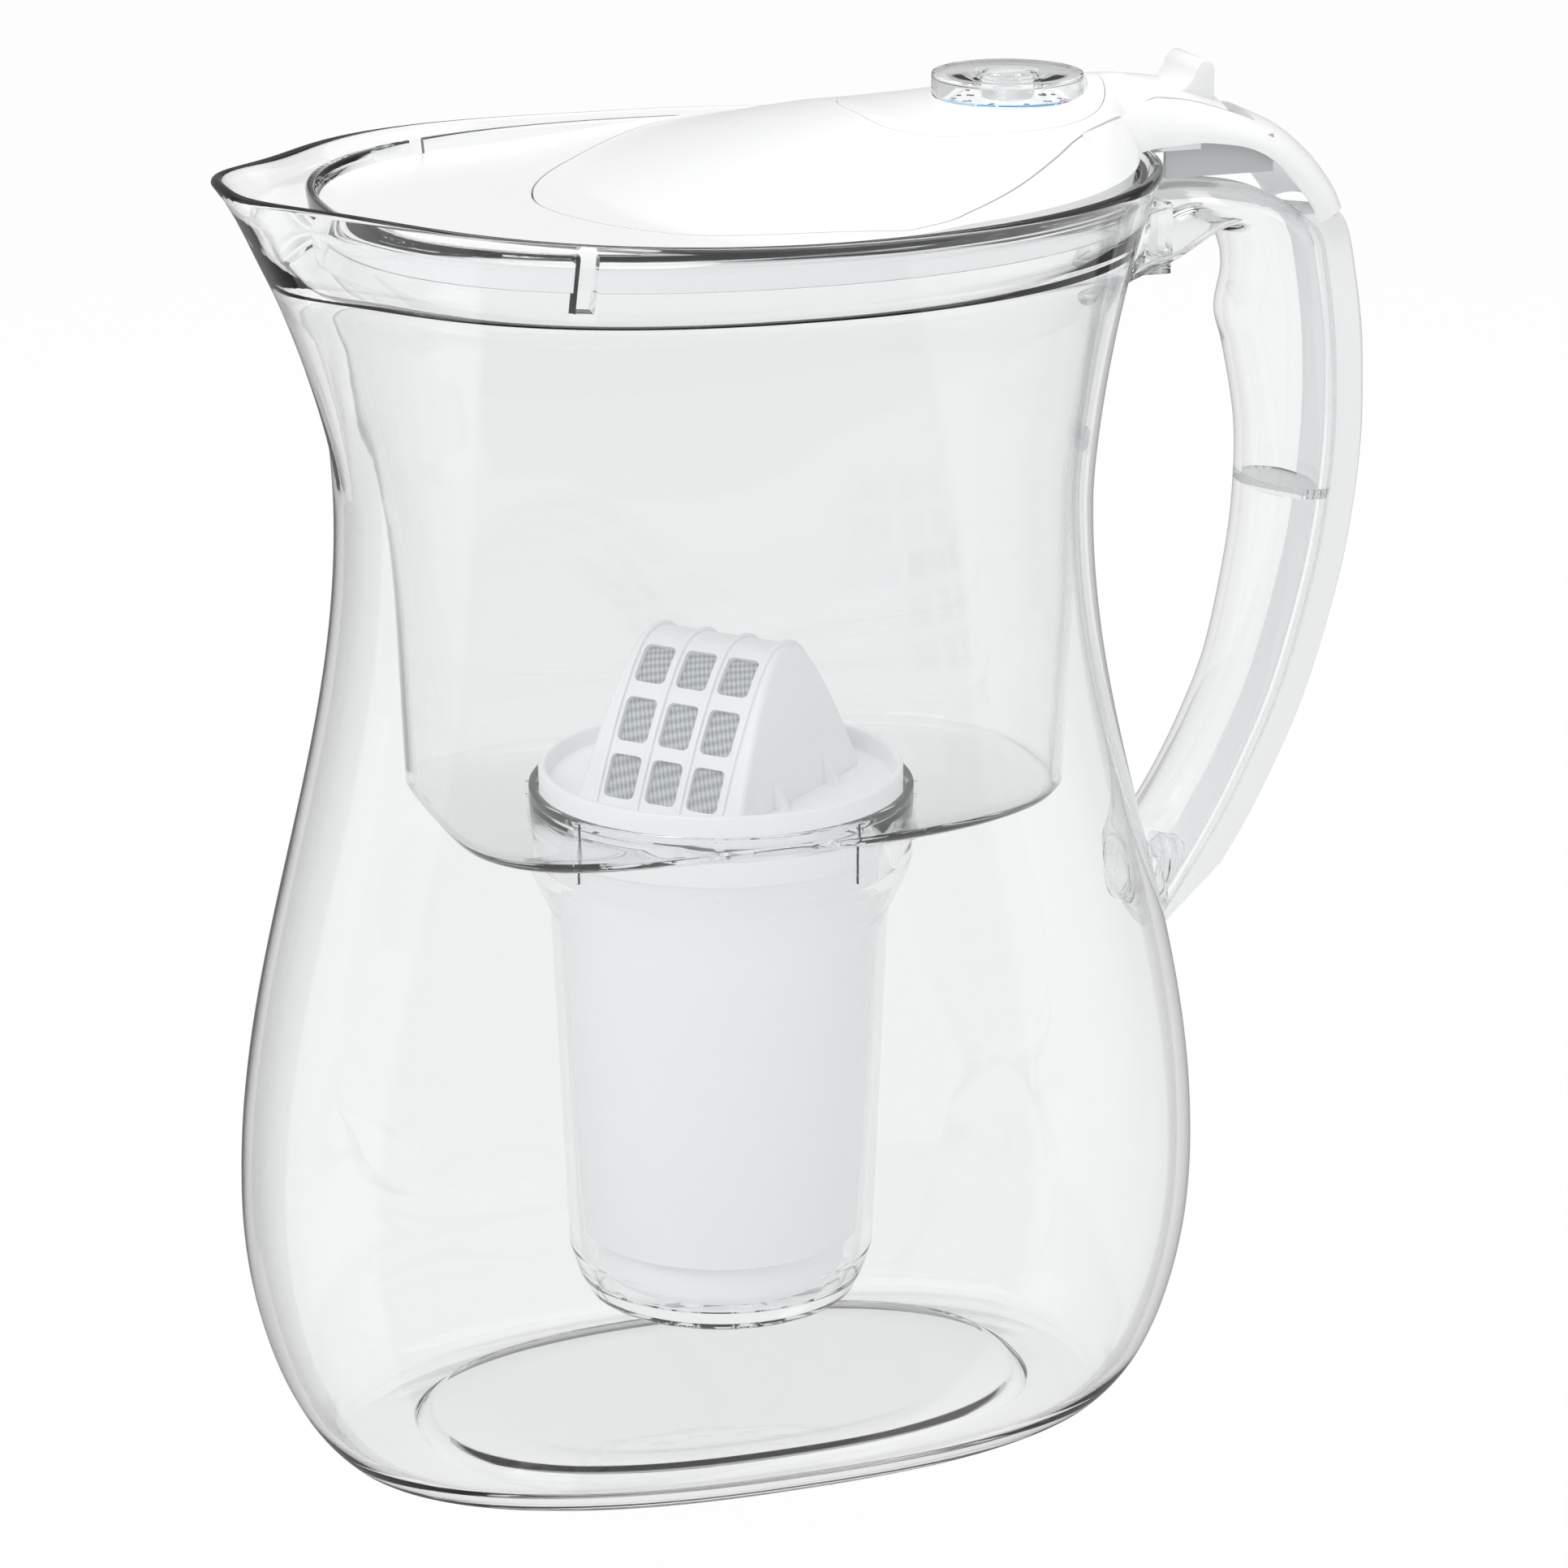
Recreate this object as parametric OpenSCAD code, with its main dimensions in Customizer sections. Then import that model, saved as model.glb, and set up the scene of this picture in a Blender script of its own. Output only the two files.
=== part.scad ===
// Water filter pitcher with a flip lid: clear jug, clear hopper with a filter cup,
// white filter cartridge, white lid with a flip flap and a turning month dial.
// Units are millimetres, +Z is up, +X runs from the spout to the handle.
// The filter axis stands at x = axis_x, every piece is drawn about it.

/* [Overall] */
// length from the spout tip to the back of the handle
overall_l = 227.2; // [215:1:245]
// distance from the spout tip to the filter axis
spout_reach = 95; // [92:0.2:100]
// height of the jug rim at its sides
rim_z = 247.7; // [244:0.5:252]
// extra height of the rim at the spout tip
rim_rise = 3.8; // [2:0.2:5]
// points round each oval section
round_steps = 56; // [40:8:64]

/* [Jug] */
// half length of the foot towards the spout
foot_front = 76.3; // [72:0.5:79]
// half length of the foot towards the handle
foot_back = 77.6; // [75:0.5:80]
// half width of the foot
foot_half_w = 44.9; // [42:0.5:48]
// height of the widest belly
belly_z = 51; // [46:1:58]
// half length of the belly towards the spout
belly_front = 94; // [90:0.5:95]
// half length of the belly towards the handle
belly_back = 94.4; // [92:0.5:97]
// half width of the belly
belly_half_w = 60.5; // [58:0.5:64]
// height of the waist
waist_z = 186; // [180:1:190]
// half length of the waist towards the spout
waist_front = 72.2; // [70:0.5:74]
// half length of the waist towards the handle
waist_back = 71.2; // [70:0.5:74]
// half width of the waist
waist_half_w = 53.5; // [52:0.5:56]
// half length of the rim towards the spout, without the spout
rim_front = 78; // [76:0.5:80]
// half length of the rim towards the handle
rim_back = 86; // [85:0.5:87]
// half width of the rim
rim_half_w = 67.9; // [66.5:0.5:69]
// half width of the spout
spout_half_w = 23.5; // [20:0.5:26]
// height where the spout channel starts
spout_low_z = 190; // [186:1:198]
// thickness of the jug wall
jug_wall = 2.6; // [2.2:0.1:3]
// thickness of the jug wall above the hopper ledge
jug_lip_wall = 2.2; // [2:0.1:2.4]
// wall thickness at the hopper ledge
ledge_wall = 3.6; // [3.4:0.1:4]
// depth of the hopper ledge below the rim
ledge_depth = 14.7; // [13:0.1:16]
// height of the recess under the foot
foot_recess = 2.2; // [1.5:0.1:2.6]
// thickness of the jug floor
jug_floor = 2.6; // [2.2:0.1:3.2]

/* [Handle] */
// half width of the clear grip
grip_half_w = 12; // [11:0.2:12.6]
// wall of the clear grip
grip_wall = 2; // [1.6:0.1:2.4]
// thickness of the white back strip
spine_t = 6; // [4.5:0.1:6]
// half angle that the back strip wraps round the grip
spine_wrap = 34; // [30:1:60]
// height of the web inside the grip
web_z = 178; // [172:1:184]
// thickness of the web inside the grip
web_t = 1.8; // [1.2:0.1:2.4]
// radius of the ribbed plug at the foot of the grip
plug_r = 7; // [6:0.2:8]

/* [Hopper] */
// play under pieces that rest on a ledge or step
seat_play = 0.15; // [0.1:0.05:0.25]
// play between the hopper band and the jug
band_play = 0.4; // [0.3:0.05:0.5]
// thickness of the hopper band
band_t = 1.8; // [1.6:0.1:2]
// depth of the hopper band top below the rim
band_drop = 1.2; // [1:0.1:1.6]
// height of the step that carries the lid, above the ledge
lid_step = 6.5; // [6:0.1:7]
// width of the step that carries the lid
lid_step_w = 1.2; // [1:0.1:1.4]
// thickness of the hopper wall
hopper_wall = 1.9; // [1.6:0.1:2.1]
// play between the hopper wall and the jug waist
hopper_play = 0.5; // [0.4:0.1:1]
// height of the hopper floor at its wall
hopper_floor_z = 127; // [124:0.5:128]
// half length of the hopper floor towards the spout
hopper_front = 57; // [54:0.5:58]
// half length of the hopper floor towards the handle
hopper_back = 66.5; // [63:0.5:67]
// width of the hopper floor beside the filter cup
floor_side = 3.95; // [3.4:0.05:5]
// width of the vent slot on each side of the hopper band
vent_w = 3; // [2:0.2:4]
// distance of the vent slots from the filter axis, towards the spout
vent_x = 42; // [36:1:48]

/* [Filter] */
// how far the cartridge rim stands out from the collar
ring_out = 1.4; // [1:0.1:1.8]
// height of the cartridge rim top
ring_z = 134.1; // [133:0.1:135]
// height of the cartridge rim wall
ring_h = 5.8; // [5:0.1:6.4]
// how far the collar stands out from the cartridge body
collar_out = 2.6; // [2.2:0.1:3]
// height of the collar below the rim wall
collar_h = 8.9; // [8:0.1:10]
// radius of the cartridge body at its top
body_top_r = 31; // [30:0.1:31.2]
// radius of the cartridge body at its foot
body_foot_r = 26.7; // [26:0.1:27.2]
// height of the foot of the cartridge body
body_foot_z = 40; // [38:0.5:42]
// radius of the cartridge base cap
cap_r = 24.4; // [23:0.1:25]
// height of the cartridge base cap
cap_h = 9.5; // [8:0.5:10]
// wall of the cartridge
cart_wall = 1.6; // [1.3:0.1:1.8]
// play between the cartridge and the filter cup
cup_play = 0.35; // [0.3:0.05:0.4]
// wall of the filter cup
cup_wall = 1.7; // [1.5:0.1:1.8]
// gap under the cartridge inside the cup
cup_gap = 3; // [2:0.5:4]
// turn of the dome about the filter axis
dome_turn = -49; // [-60:1:-40]
// half width of the dome arch at its foot
dome_half_w = 24; // [22:0.5:25]
// half length of the dome at its foot
dome_half_l = 18; // [17:0.5:19]
// height of the dome above the tray
dome_h = 30; // [27:0.5:32]
// distance between window columns
window_pitch = 9; // [8.4:0.1:9.4]
// width of a mesh window
window_w = 6.6; // [6:0.1:7.2]

/* [Lid] */
// play between the lid and the hopper band
lid_play = 0.35; // [0.3:0.05:0.45]
// thickness of the lid skin
skin_t = 2; // [1.8:0.1:2.2]
// thickness of the lid skirt
skirt_t = 1.6; // [1.2:0.1:1.8]
// depth of the front plate below the rim
plate_drop = 3.7; // [3:0.1:4]
// height of the crest above the rim where the hill ends
crest_front_h = 9.9; // [9:0.1:11]
// height of the crest above the rim behind the dial
crest_h = 14.1; // [13:0.1:15]
// thickness of the seat plate under the flap
seat_t = 1.5; // [1.2:0.1:1.8]
// gap between the flap and the seat plate and skirt
seat_gap = 0.45; // [0.4:0.05:0.6]
// width of the seam round the flap
seam = 0.4; // [0.3:0.05:0.6]
// half width of the cover over the handle
cover_half_w = 15; // [14.8:0.1:16]
// half width of the flap at the thumb tab
neck_half_w = 9.5; // [9:0.1:9.8]
// distance of the flap hinge from the filter axis
hinge_x = 88; // [87:0.2:89]
// height of the flap hinge above the rim
hinge_up = 3.8; // [3.6:0.1:4.4]
// radius of the hinge pin
pin_r = 1.5; // [1.3:0.05:1.6]
// running play of the flap on its pin
pin_play = 0.05; // [0.03:0.01:0.08]
// radius of the hinge barrel
barrel_r = 3.2; // [3:0.1:3.3]

/* [Dial] */
// height of the dial seat above the rim
seat_up = 10.7; // [10:0.1:11.2]
// distance of the dial from the filter axis
dial_x = 57.8; // [55:0.2:59]
// outer radius of the clear dial cover
dial_r = 14.3; // [13:0.1:14.6]
// height of the clear dial cover
dial_h = 4.4; // [3.6:0.1:4.8]
// radius of the spindle
spindle_r = 2; // [1.6:0.1:2.4]
// running play of the dial on its spindle
dial_play = 0.05; // [0.03:0.01:0.08]
// width of the thumb tab
tab_w = 14.6; // [12:0.2:16]
// height of the thumb tab above the rim
tab_up = 16.6; // [15.6:0.1:18]

/* [Hidden] */
axis_x = -overall_l / 2 + spout_reach;
grip_dx = overall_l - spout_reach - 132.2;
ledge_z = rim_z - ledge_depth;
step_z = ledge_z + lid_step;
band_top_z = rim_z - band_drop;
band_off = jug_lip_wall + band_play;
lid_off = band_off + band_t + lid_play;
ring_foot_z = ring_z - ring_h;
collar_foot_z = ring_foot_z - collar_h;
cap_foot_z = body_foot_z - cap_h;
cup_foot_z = cap_foot_z - cup_gap - cup_wall;
hinge_z = rim_z + hinge_up;
crest_z = rim_z + crest_h;
crest_front_z = rim_z + crest_front_h;
seat_z = rim_z + seat_up;
plate_z = rim_z - plate_drop;
neck_play_w = neck_half_w + seam;
cheek_t = 3;
pocket_end_x = hinge_x + 16.4;
swing_x = hinge_x - 10;
swing_room = 2;
skirt_drop = 0.6;
dome_foot_z = ring_foot_z + 0.8;
collar_r = body_top_r + collar_out;
ring_r = collar_r + ring_out;
cup_r = ring_r + cup_play + cup_wall;
hole_r = cup_r - 0.6;
hopper_half_w = cup_r + floor_side;
// the handle keeps its place at the jug up to here and takes up its reach over this length
reach_x = 98;
reach_span = 20;
$fn = 64;

function mix(a, b, t) = a + (b - a) * t;
function ease(t) = t <= 0 ? 0 : t >= 1 ? 1 : t * t * (3 - 2 * t);
function wave(t) = (1 - cos(180 * t)) / 2;
function sgnpow(v, p) = v < 0 ? -pow(-v, p) : pow(v, p);

// size of the jug at height z from its foot, belly, waist and rim values
function girth(z, foot, belly, waist, rim) =
    z < belly_z ? belly - (belly - foot)
        * (0.75 * pow(1 - z / belly_z, 2.1) + 0.25 * pow(1 - z / belly_z, 9))
    : z < waist_z ? mix(belly, waist, wave((z - belly_z) / (waist_z - belly_z)))
    : mix(waist, rim, pow((z - waist_z) / (rim_z - waist_z), 1.6));
function front_a(z) = girth(z, foot_front, belly_front, waist_front, rim_front);
function back_a(z) = girth(z, foot_back, belly_back, waist_back, rim_back);
function side_b(z) = girth(z, foot_half_w, belly_half_w, waist_half_w, rim_half_w);
function back_n(z) = mix(2.4, 1.95, ease((z - waist_z) / (rim_z - waist_z)));
function spout_t(z) = max(0, (z - spout_low_z) / (rim_z - spout_low_z));
function spout_len(z) = (spout_reach - rim_front)
    * (0.72 * pow(spout_t(z), 1.35) + 0.28 * pow(spout_t(z), 7));
function spout_w(z) = mix(7, spout_half_w, ease(spout_t(z)));

// one point of an oval with its own front, back and side half sizes
function oval_pt(t, af, ab, b, nf, nb) =
    let (c = cos(t), s = sin(t), a = c < 0 ? af : ab, n = c < 0 ? nf : nb)
    [a * sgnpow(c, 2 / n), b * sgnpow(s, 2 / n)];

// point of the jug section at height z, drawn in by off, with or without the spout
function jug_pt(t, z, off, lobe) =
    let (p = oval_pt(t, front_a(z) - off, back_a(z) - off, side_b(z) - off, 2.35, back_n(z)),
        w = spout_w(z) - off * 0.5,
        push = lobe && p[0] < 0 ? spout_len(z) / (1 + pow(p[1] / w, 4)) : 0)
    [p[0] - push, p[1]];
function rim_lift(x, z) = rim_rise * pow(max(0, -x) / spout_reach, 1.5)
    * ease((z - ledge_z) / (rim_z - ledge_z));
function jug_ring(z, off, lobe = true) = [for (i = [0:round_steps - 1])
    let (p = jug_pt(360 * i / round_steps, z, off, lobe)) [p[0], p[1], z + rim_lift(p[0], z)]];
function flat_ring(z, k, af, ab, b) = [for (i = [0:round_steps - 1])
    let (p = oval_pt(360 * i / round_steps, af * k, ab * k, b * k, 2.4, 2.4)) [p[0], p[1], z]];

// skin through a list of rings with equal counts, closed at each end by one face,
// or by a strip of four-sided faces where the rings are bent like a U
module stack(rings, wrap = false, strip = false) {
    n = len(rings[0]);
    m = len(rings);
    pts = [for (r = rings) each r];
    side = [for (j = [0:m - (wrap ? 1 : 2)], i = [0:n - 1])
        let (a = j * n + i, b = j * n + (i + 1) % n,
            c = ((j + 1) % m) * n + (i + 1) % n, d = ((j + 1) % m) * n + i)
        each [[a, c, b], [a, d, c]]];
    e = (m - 1) * n;
    caps = wrap ? [] : strip
        ? [for (k = [0:n / 2 - 2]) each [[k, k + 1, n - 2 - k, n - 1 - k],
            [e + n - 1 - k, e + n - 2 - k, e + k + 1, e + k]]]
        : [[for (i = [0:n - 1]) i], [for (i = [n - 1:-1:0]) e + i]];
    polyhedron(points = pts, faces = concat(side, caps), convexity = 8);
}

// half sizes of the handle grip: inner point, outer point and half width at each station
GRIP = [
    [78.5, 220.5, 84.5, 239.5], [83, 222.5, 89.5, 240.5], [88.6, 225, 98, 240.3],
    [95.6, 230.6, 107, 238.6], [100, 231.8, 114.5, 235.2], [102.7, 228, 121.6, 229.7],
    [104, 222, 123.9, 220.5], [102.6, 213.8, 125.5, 211], [104.7, 206, 126.1, 202],
    [107.6, 191.5, 126.1, 189.2], [108, 178.4, 124.8, 175.4], [106.9, 165.2, 122.1, 160.5],
    [103.2, 145.2, 116.1, 140], [98.1, 131.7, 109.4, 124.4], [92.4, 120.6, 101.6, 109.7],
    [86.6, 111.6, 91, 93.6]];
function reach_dx(x) = grip_dx * max(0, min(1, (x - reach_x) / reach_span));
function grip_c(g) = let (x = (g[0] + g[2]) / 2) [x + reach_dx(x), (g[1] + g[3]) / 2];
function grip_u(g) = let (d = [g[2] - g[0], g[3] - g[1]]) d / norm(d);
function grip_d(g) = norm([g[2] - g[0], g[3] - g[1]]) / 2;
// point round a grip section at angle a from the outer side, with half depth d and half width w
function grip_pt(g, a, d, w) =
    let (c = grip_c(g), u = grip_u(g), k = d * sgnpow(cos(a), 2 / 2.2))
    [c[0] + u[0] * k, w * sgnpow(sin(a), 2 / 2.2), c[1] + u[1] * k];
function grip_ring(g, inset, n = 28) =
    [for (i = [0:n - 1]) grip_pt(g, -360 * i / n, grip_d(g) - inset, grip_half_w - inset)];

// height of the lid skin: plate, hill and crest
function hopper_edge(x, z) =
    let (a = (x < 0 ? front_a(z) : back_a(z)) - lid_off, n = x < 0 ? 2.35 : back_n(z))
    (side_b(z) - lid_off) * pow(max(0, 1 - pow(min(1, abs(x) / a), n)), 1 / n);
function plate_at(x) = mix(plate_z, rim_z - 0.3, ease((x + 30) / 60));
function hill_w(x) = x < 10 ? 61 * sqrt(max(0.0001, 1 - pow(min(1, (10 - x) / 33), 2)))
    : max(cover_half_w + 3, min(61, hopper_edge(x, rim_z) + 1.5));
function crest_at(x) = x < -22.5 ? 0
    : (crest_front_z - plate_at(30)) * pow((min(x, 30) + 22.5) / 52.5, 0.95)
    + (crest_z - crest_front_z) * ease((x - 26) / 48) - 1.8 * ease((x - 78) / 14);
function lid_z(x, y) = let (v = min(1, abs(y) / hill_w(x)))
    plate_at(x) + crest_at(x) * pow(max(0, 1 - pow(v, 1.9)), 1.15);
// edge of the lid, drop below its surface, so that it follows the flare of the hopper band
function lid_edge(t, off, drop) = let (q = jug_pt(t, rim_z, lid_off, false))
    jug_pt(t, plate_at(q[0]) - drop, lid_off + off, false);
SKIN_R = [1, 0.97, 0.92, 0.85, 0.75, 0.63, 0.5, 0.37, 0.24, 0.12];
function skin_ring(r, drop, off = 0) = [for (i = [0:round_steps - 1])
    let (p = lid_edge(360 * i / round_steps, off, drop), x = 8 + (p[0] - 8) * r, y = p[1] * r)
    [x, y, lid_z(x, y) - drop]];

// shell that follows the lid surface between two depths below it
module lid_shell(top, bottom, off = 0) {
    m = len(SKIN_R);
    stack(concat(
        [for (j = [m - 1:-1:0]) skin_ring(SKIN_R[j], bottom, off)],
        [for (j = [0:m - 1]) skin_ring(SKIN_R[j], top, off)]));
}

// crown points of the cover over the handle, how deep its sides hang there, its half width
// and how square its section is
COVER = [
    [76, 261.8, 13.8, 15, 1], [84, 261.1, 11.5, 15, 1], [91, 259.8, 10.2, 15, 1],
    [98, 257, 7.9, 15, 0.95], [104.7, 254, 6.4, 14.8, 0.9], [111.5, 250.7, 7, 14.4, 0.85],
    [117.7, 245.4, 7.5, 14, 0.8], [122.3, 239.3, 7.3, 13.5, 0.75], [124.3, 235, 7.4, 13.1, 0.7]];
// direction of the cover at a crown point, its end face lies level
function cover_dir(i) = let (e = len(COVER) - 1, a = COVER[max(0, i - 1)], b = COVER[min(e, i + 1)],
    d = i == e ? [0.12, -0.993] : [b[0] - a[0], b[1] - a[1]]) d / norm(d);
// U section of the cover at crown point i, wall t, drawn in by inset at its sides
function cover_pt(i, a, w, t) = let (c = COVER[i], d = cover_dir(i),
    q = c[2] - (c[2] - t) * pow(max(0, sin(a)), c[4]))
    [c[0] + reach_dx(c[0]) + d[1] * q, w * sgnpow(cos(a), c[4]), c[1] - d[0] * q];
function cover_ring(i, t, inset = 0) = let (w = COVER[i][3] - inset, n = 12) concat(
    [for (k = [0:n]) cover_pt(i, 180 * k / n, w, 0)],
    [for (k = [n:-1:0]) cover_pt(i, 180 * k / n, w - t, t)]);
module cover() {
    stack([for (i = [0:len(COVER) - 1]) cover_ring(i, skin_t)], strip = true);
}

// plan of the flap: oval nose, sides near the lid edge, then an S curve to the neck
function nose_pt(a) = [28 - 62 * pow(cos(a), 2 / 1.7), 61 * pow(sin(a), 2 / 1.7)];
S_CURVE = [[26, 56.3], [34.7, 50.2], [43.9, 42.8], [54, 33.3], [59.6, 27.6], [64.9, 22.8], [69.8, 18.8],
    [74.9, 14.4], [80, 10.9]];
function flap_half(off) = concat(
    [for (a = [0:6:84])
        let (p = nose_pt(a), edge = hopper_edge(p[0], plate_at(p[0]) - skin_t), lim = edge - skirt_t - seat_gap)
        [p[0] + off * cos(a), min(p[1], lim) - off * sin(a)]],
    [for (p = S_CURVE) [p[0] - off * 0.6, p[1] - off * 0.8]],
    [[84, neck_half_w - off], [98.9 - off, neck_half_w - off]]);
module flap_plan(off) {
    h = flap_half(off);
    polygon(concat(h, [for (i = [len(h) - 1:-1:1]) [h[i][0], -h[i][1]]]));
}
module island_plan(off) {
    polygon([for (i = [0:55]) let (a = 360 * i / 56, c = cos(a), n = c < 0 ? 3.4 : 2)
        [51 + ((c < 0 ? 23.3 : 24.6) + off) * sgnpow(c, 2 / n), (23.8 + off) * sgnpow(sin(a), 2 / n)]]);
}
module column(z0, z1) {
    translate([0, 0, z0])
        linear_extrude(height = z1 - z0)
            children();
}
// round bar along Y
module bar(x, z, r, half) {
    translate([x, 0, z])
        rotate([90, 0, 0])
            cylinder(r = r, h = 2 * half, center = true);
}
function round_rect(w, h, r) = [for (q = [0:3], k = [0:4])
    let (a = 90 * q + 22.5 * k, sx = (q == 0 || q == 3) ? 1 : -1, sy = q < 2 ? 1 : -1)
    [sx * (w / 2 - r) + r * cos(a), sy * (h / 2 - r) + r * sin(a)]];

// clear jug with spout, belly, foot ring and hopper ledge
module jug_body() color([0.85, 0.9, 0.95, 0.35]) translate([axis_x, 0, 0])
    stack(concat(
        [flat_ring(foot_recess, 0.3, foot_front, foot_back, foot_half_w),
         flat_ring(foot_recess, 0.76, foot_front, foot_back, foot_half_w),
         flat_ring(0, 0.81, foot_front, foot_back, foot_half_w)],
        [for (z = [0, 1.5, 3.5, 6.5, 11, 17, 25, 36, 51, 70, 90, 110, 130, 150, 168, 184, 198,
            208, 218, 227, 235, 241.5]) jug_ring(z, z == 0 ? 1.2 : 0)],
        [jug_ring(rim_z - 2.5, 0), jug_ring(rim_z - 0.9, -0.1), jug_ring(rim_z, 0.6),
         jug_ring(rim_z, jug_lip_wall - 0.5), jug_ring(rim_z - 0.9, jug_lip_wall),
         jug_ring(241.5, jug_lip_wall), jug_ring(ledge_z, jug_lip_wall),
         jug_ring(ledge_z - 0.02, ledge_wall), jug_ring(ledge_z - 6, jug_wall)],
        [for (z = [218, 208, 198, 184, 168, 150, 130, 110, 90, 70, 51, 36, 25, 17, 11]) jug_ring(z, jug_wall)],
        [jug_ring(6.5, jug_wall + 0.6), jug_ring(3.6, jug_wall + 2.6),
         flat_ring(jug_floor, 0.9, foot_front, foot_back, foot_half_w),
         flat_ring(jug_floor, 0.8, foot_front, foot_back, foot_half_w),
         flat_ring(jug_floor + foot_recess, 0.74, foot_front, foot_back, foot_half_w),
         flat_ring(jug_floor + foot_recess, 0.3, foot_front, foot_back, foot_half_w)]));

// clear hollow grip from the neck of the jug down to its belly
module handle_shell() color([0.85, 0.9, 0.95, 0.4]) translate([axis_x, 0, 0])
    stack(concat([for (g = GRIP) grip_ring(g, 0)],
        [for (i = [len(GRIP) - 1:-1:0]) grip_ring(GRIP[i], grip_wall)]), wrap = true);

// white strip along the back of the grip
module handle_spine() color([0.96, 0.96, 0.96]) translate([axis_x, 0, 0])
    stack([for (g = concat([[101, 230.8, 118.2, 233.4]], [for (i = [5:15]) GRIP[i]]))
        let (w = spine_wrap, n = 10, d = grip_d(g))
        concat([for (k = [0:n]) grip_pt(g, mix(w, -w, k / n), d + spine_t, grip_half_w + 0.6)],
            [for (k = [0:n]) grip_pt(g, mix(-w, w, k / n), d - 0.3, grip_half_w - 0.3)])], strip = true);

// clear web that closes the hollow of the grip halfway down
module handle_web() color([0.85, 0.9, 0.95, 0.5]) translate([axis_x, 0, 0])
    translate([116.3 + reach_dx(116.3), 0, web_z])
        rotate([0, 8, 0])
            linear_extrude(height = web_t)
                polygon([for (i = [0:31]) let (a = 360 * i / 32)
                    [7.2 * sgnpow(cos(a), 0.8), (grip_half_w - grip_wall + 0.4) * sgnpow(sin(a), 0.8)]]);

// clear block that ties the grip to the neck of the jug, with a slot
module neck_bracket() color([0.8, 0.85, 0.9, 0.6]) translate([axis_x, 0, 0])
    difference() {
        translate([79.5, -8, 224])
            cube([9, 16, 13]);
        translate([84.5, -3, 220])
            cube([2.4, 6, 20]);
    }

// ribbed plug that ties the foot of the grip to the belly
module foot_socket() color([0.8, 0.85, 0.9, 0.6]) translate([axis_x, 0, 0])
    translate([84.2, 0, 104])
        rotate([0, 90 + 14, 0])
            union() {
                cylinder(r = plug_r - 1, h = 12);
                for (k = [0:3])
                    translate([0, 0, 0.6 + 2.9 * k])
                        cylinder(r = plug_r, h = 1.2);
            }

// sizes of the hopper outside at height z
function hop_t(z) = (z - hopper_floor_z) / (ledge_z - hopper_floor_z);
function hop_ring(z, k, off) = let (t = hop_t(z), u = pow(max(0, t), 1.5),
    af = mix(hopper_front, rim_front - 6.4, 0.35 * t + 0.65 * pow(t, 2.2)),
    ab = min(mix(hopper_back, back_a(ledge_z) - ledge_wall - 1, 0.35 * t + 0.65 * pow(t, 3)),
        back_a(max(z, waist_z)) - jug_wall - hopper_play),
    b = mix(hopper_half_w, side_b(ledge_z) - ledge_wall - 0.8, 0.62 * t + 0.38 * pow(t, 4)))
    [for (i = [0:round_steps - 1])
        let (p = oval_pt(360 * i / round_steps, (af - off) * k, (ab - off) * k, (b - off) * k,
            mix(2.9, 2.35, u), mix(2.4, back_n(z), u)))
        [p[0], p[1], z]];
function hole_ring(z, r) = [for (i = [0:round_steps - 1])
    let (a = 360 * i / round_steps) [r * cos(a), r * sin(a), z]];
function band_ring(z, off) = [for (i = [0:round_steps - 1])
    let (p = jug_pt(360 * i / round_steps, z, off, false)) [p[0], p[1], z]];

// clear hopper with a band round its top and a hole for the filter cup
module reservoir() color([0.88, 0.92, 0.96, 0.4]) translate([axis_x, 0, 0])
    difference() {
        stack(concat(
            [hole_ring(hopper_floor_z - 1.5, hole_r)],
            [hop_ring(hopper_floor_z, 0.94, 0), hop_ring(hopper_floor_z + 2.5, 1, 0)],
            [for (z = [140, 155, 170, 186, 200, 212, 222]) hop_ring(z, 1, 0)],
            [hop_ring(ledge_z - 0.8, 1, 0), hop_ring(ledge_z + seat_play, 1, 0),
             band_ring(ledge_z + seat_play, band_off), band_ring(240, band_off),
             band_ring(band_top_z, band_off), band_ring(band_top_z, band_off + band_t),
             band_ring(240.5, band_off + band_t),
             band_ring(step_z + 0.01, band_off + band_t), band_ring(step_z, band_off + band_t + lid_step_w),
             band_ring(ledge_z + 2.4, band_off + band_t + lid_step_w)],
            [hop_ring(ledge_z - 1.5, 1, hopper_wall)],
            [for (z = [222, 212, 200, 186, 170, 155, 140]) hop_ring(z, 1, hopper_wall)],
            [hop_ring(hopper_floor_z + 3.4, 1, hopper_wall + 0.2),
             hop_ring(hopper_floor_z + 1.9, 0.94, hopper_wall), hole_ring(hopper_floor_z + 0.4, hole_r)]), wrap = true);
        for (s = [-1, 1])
            translate([-vent_x - vent_w / 2, s > 0 ? 40 : -90, ledge_z + 2.6])
                cube([vent_w, 50, 30]);
    }

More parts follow.
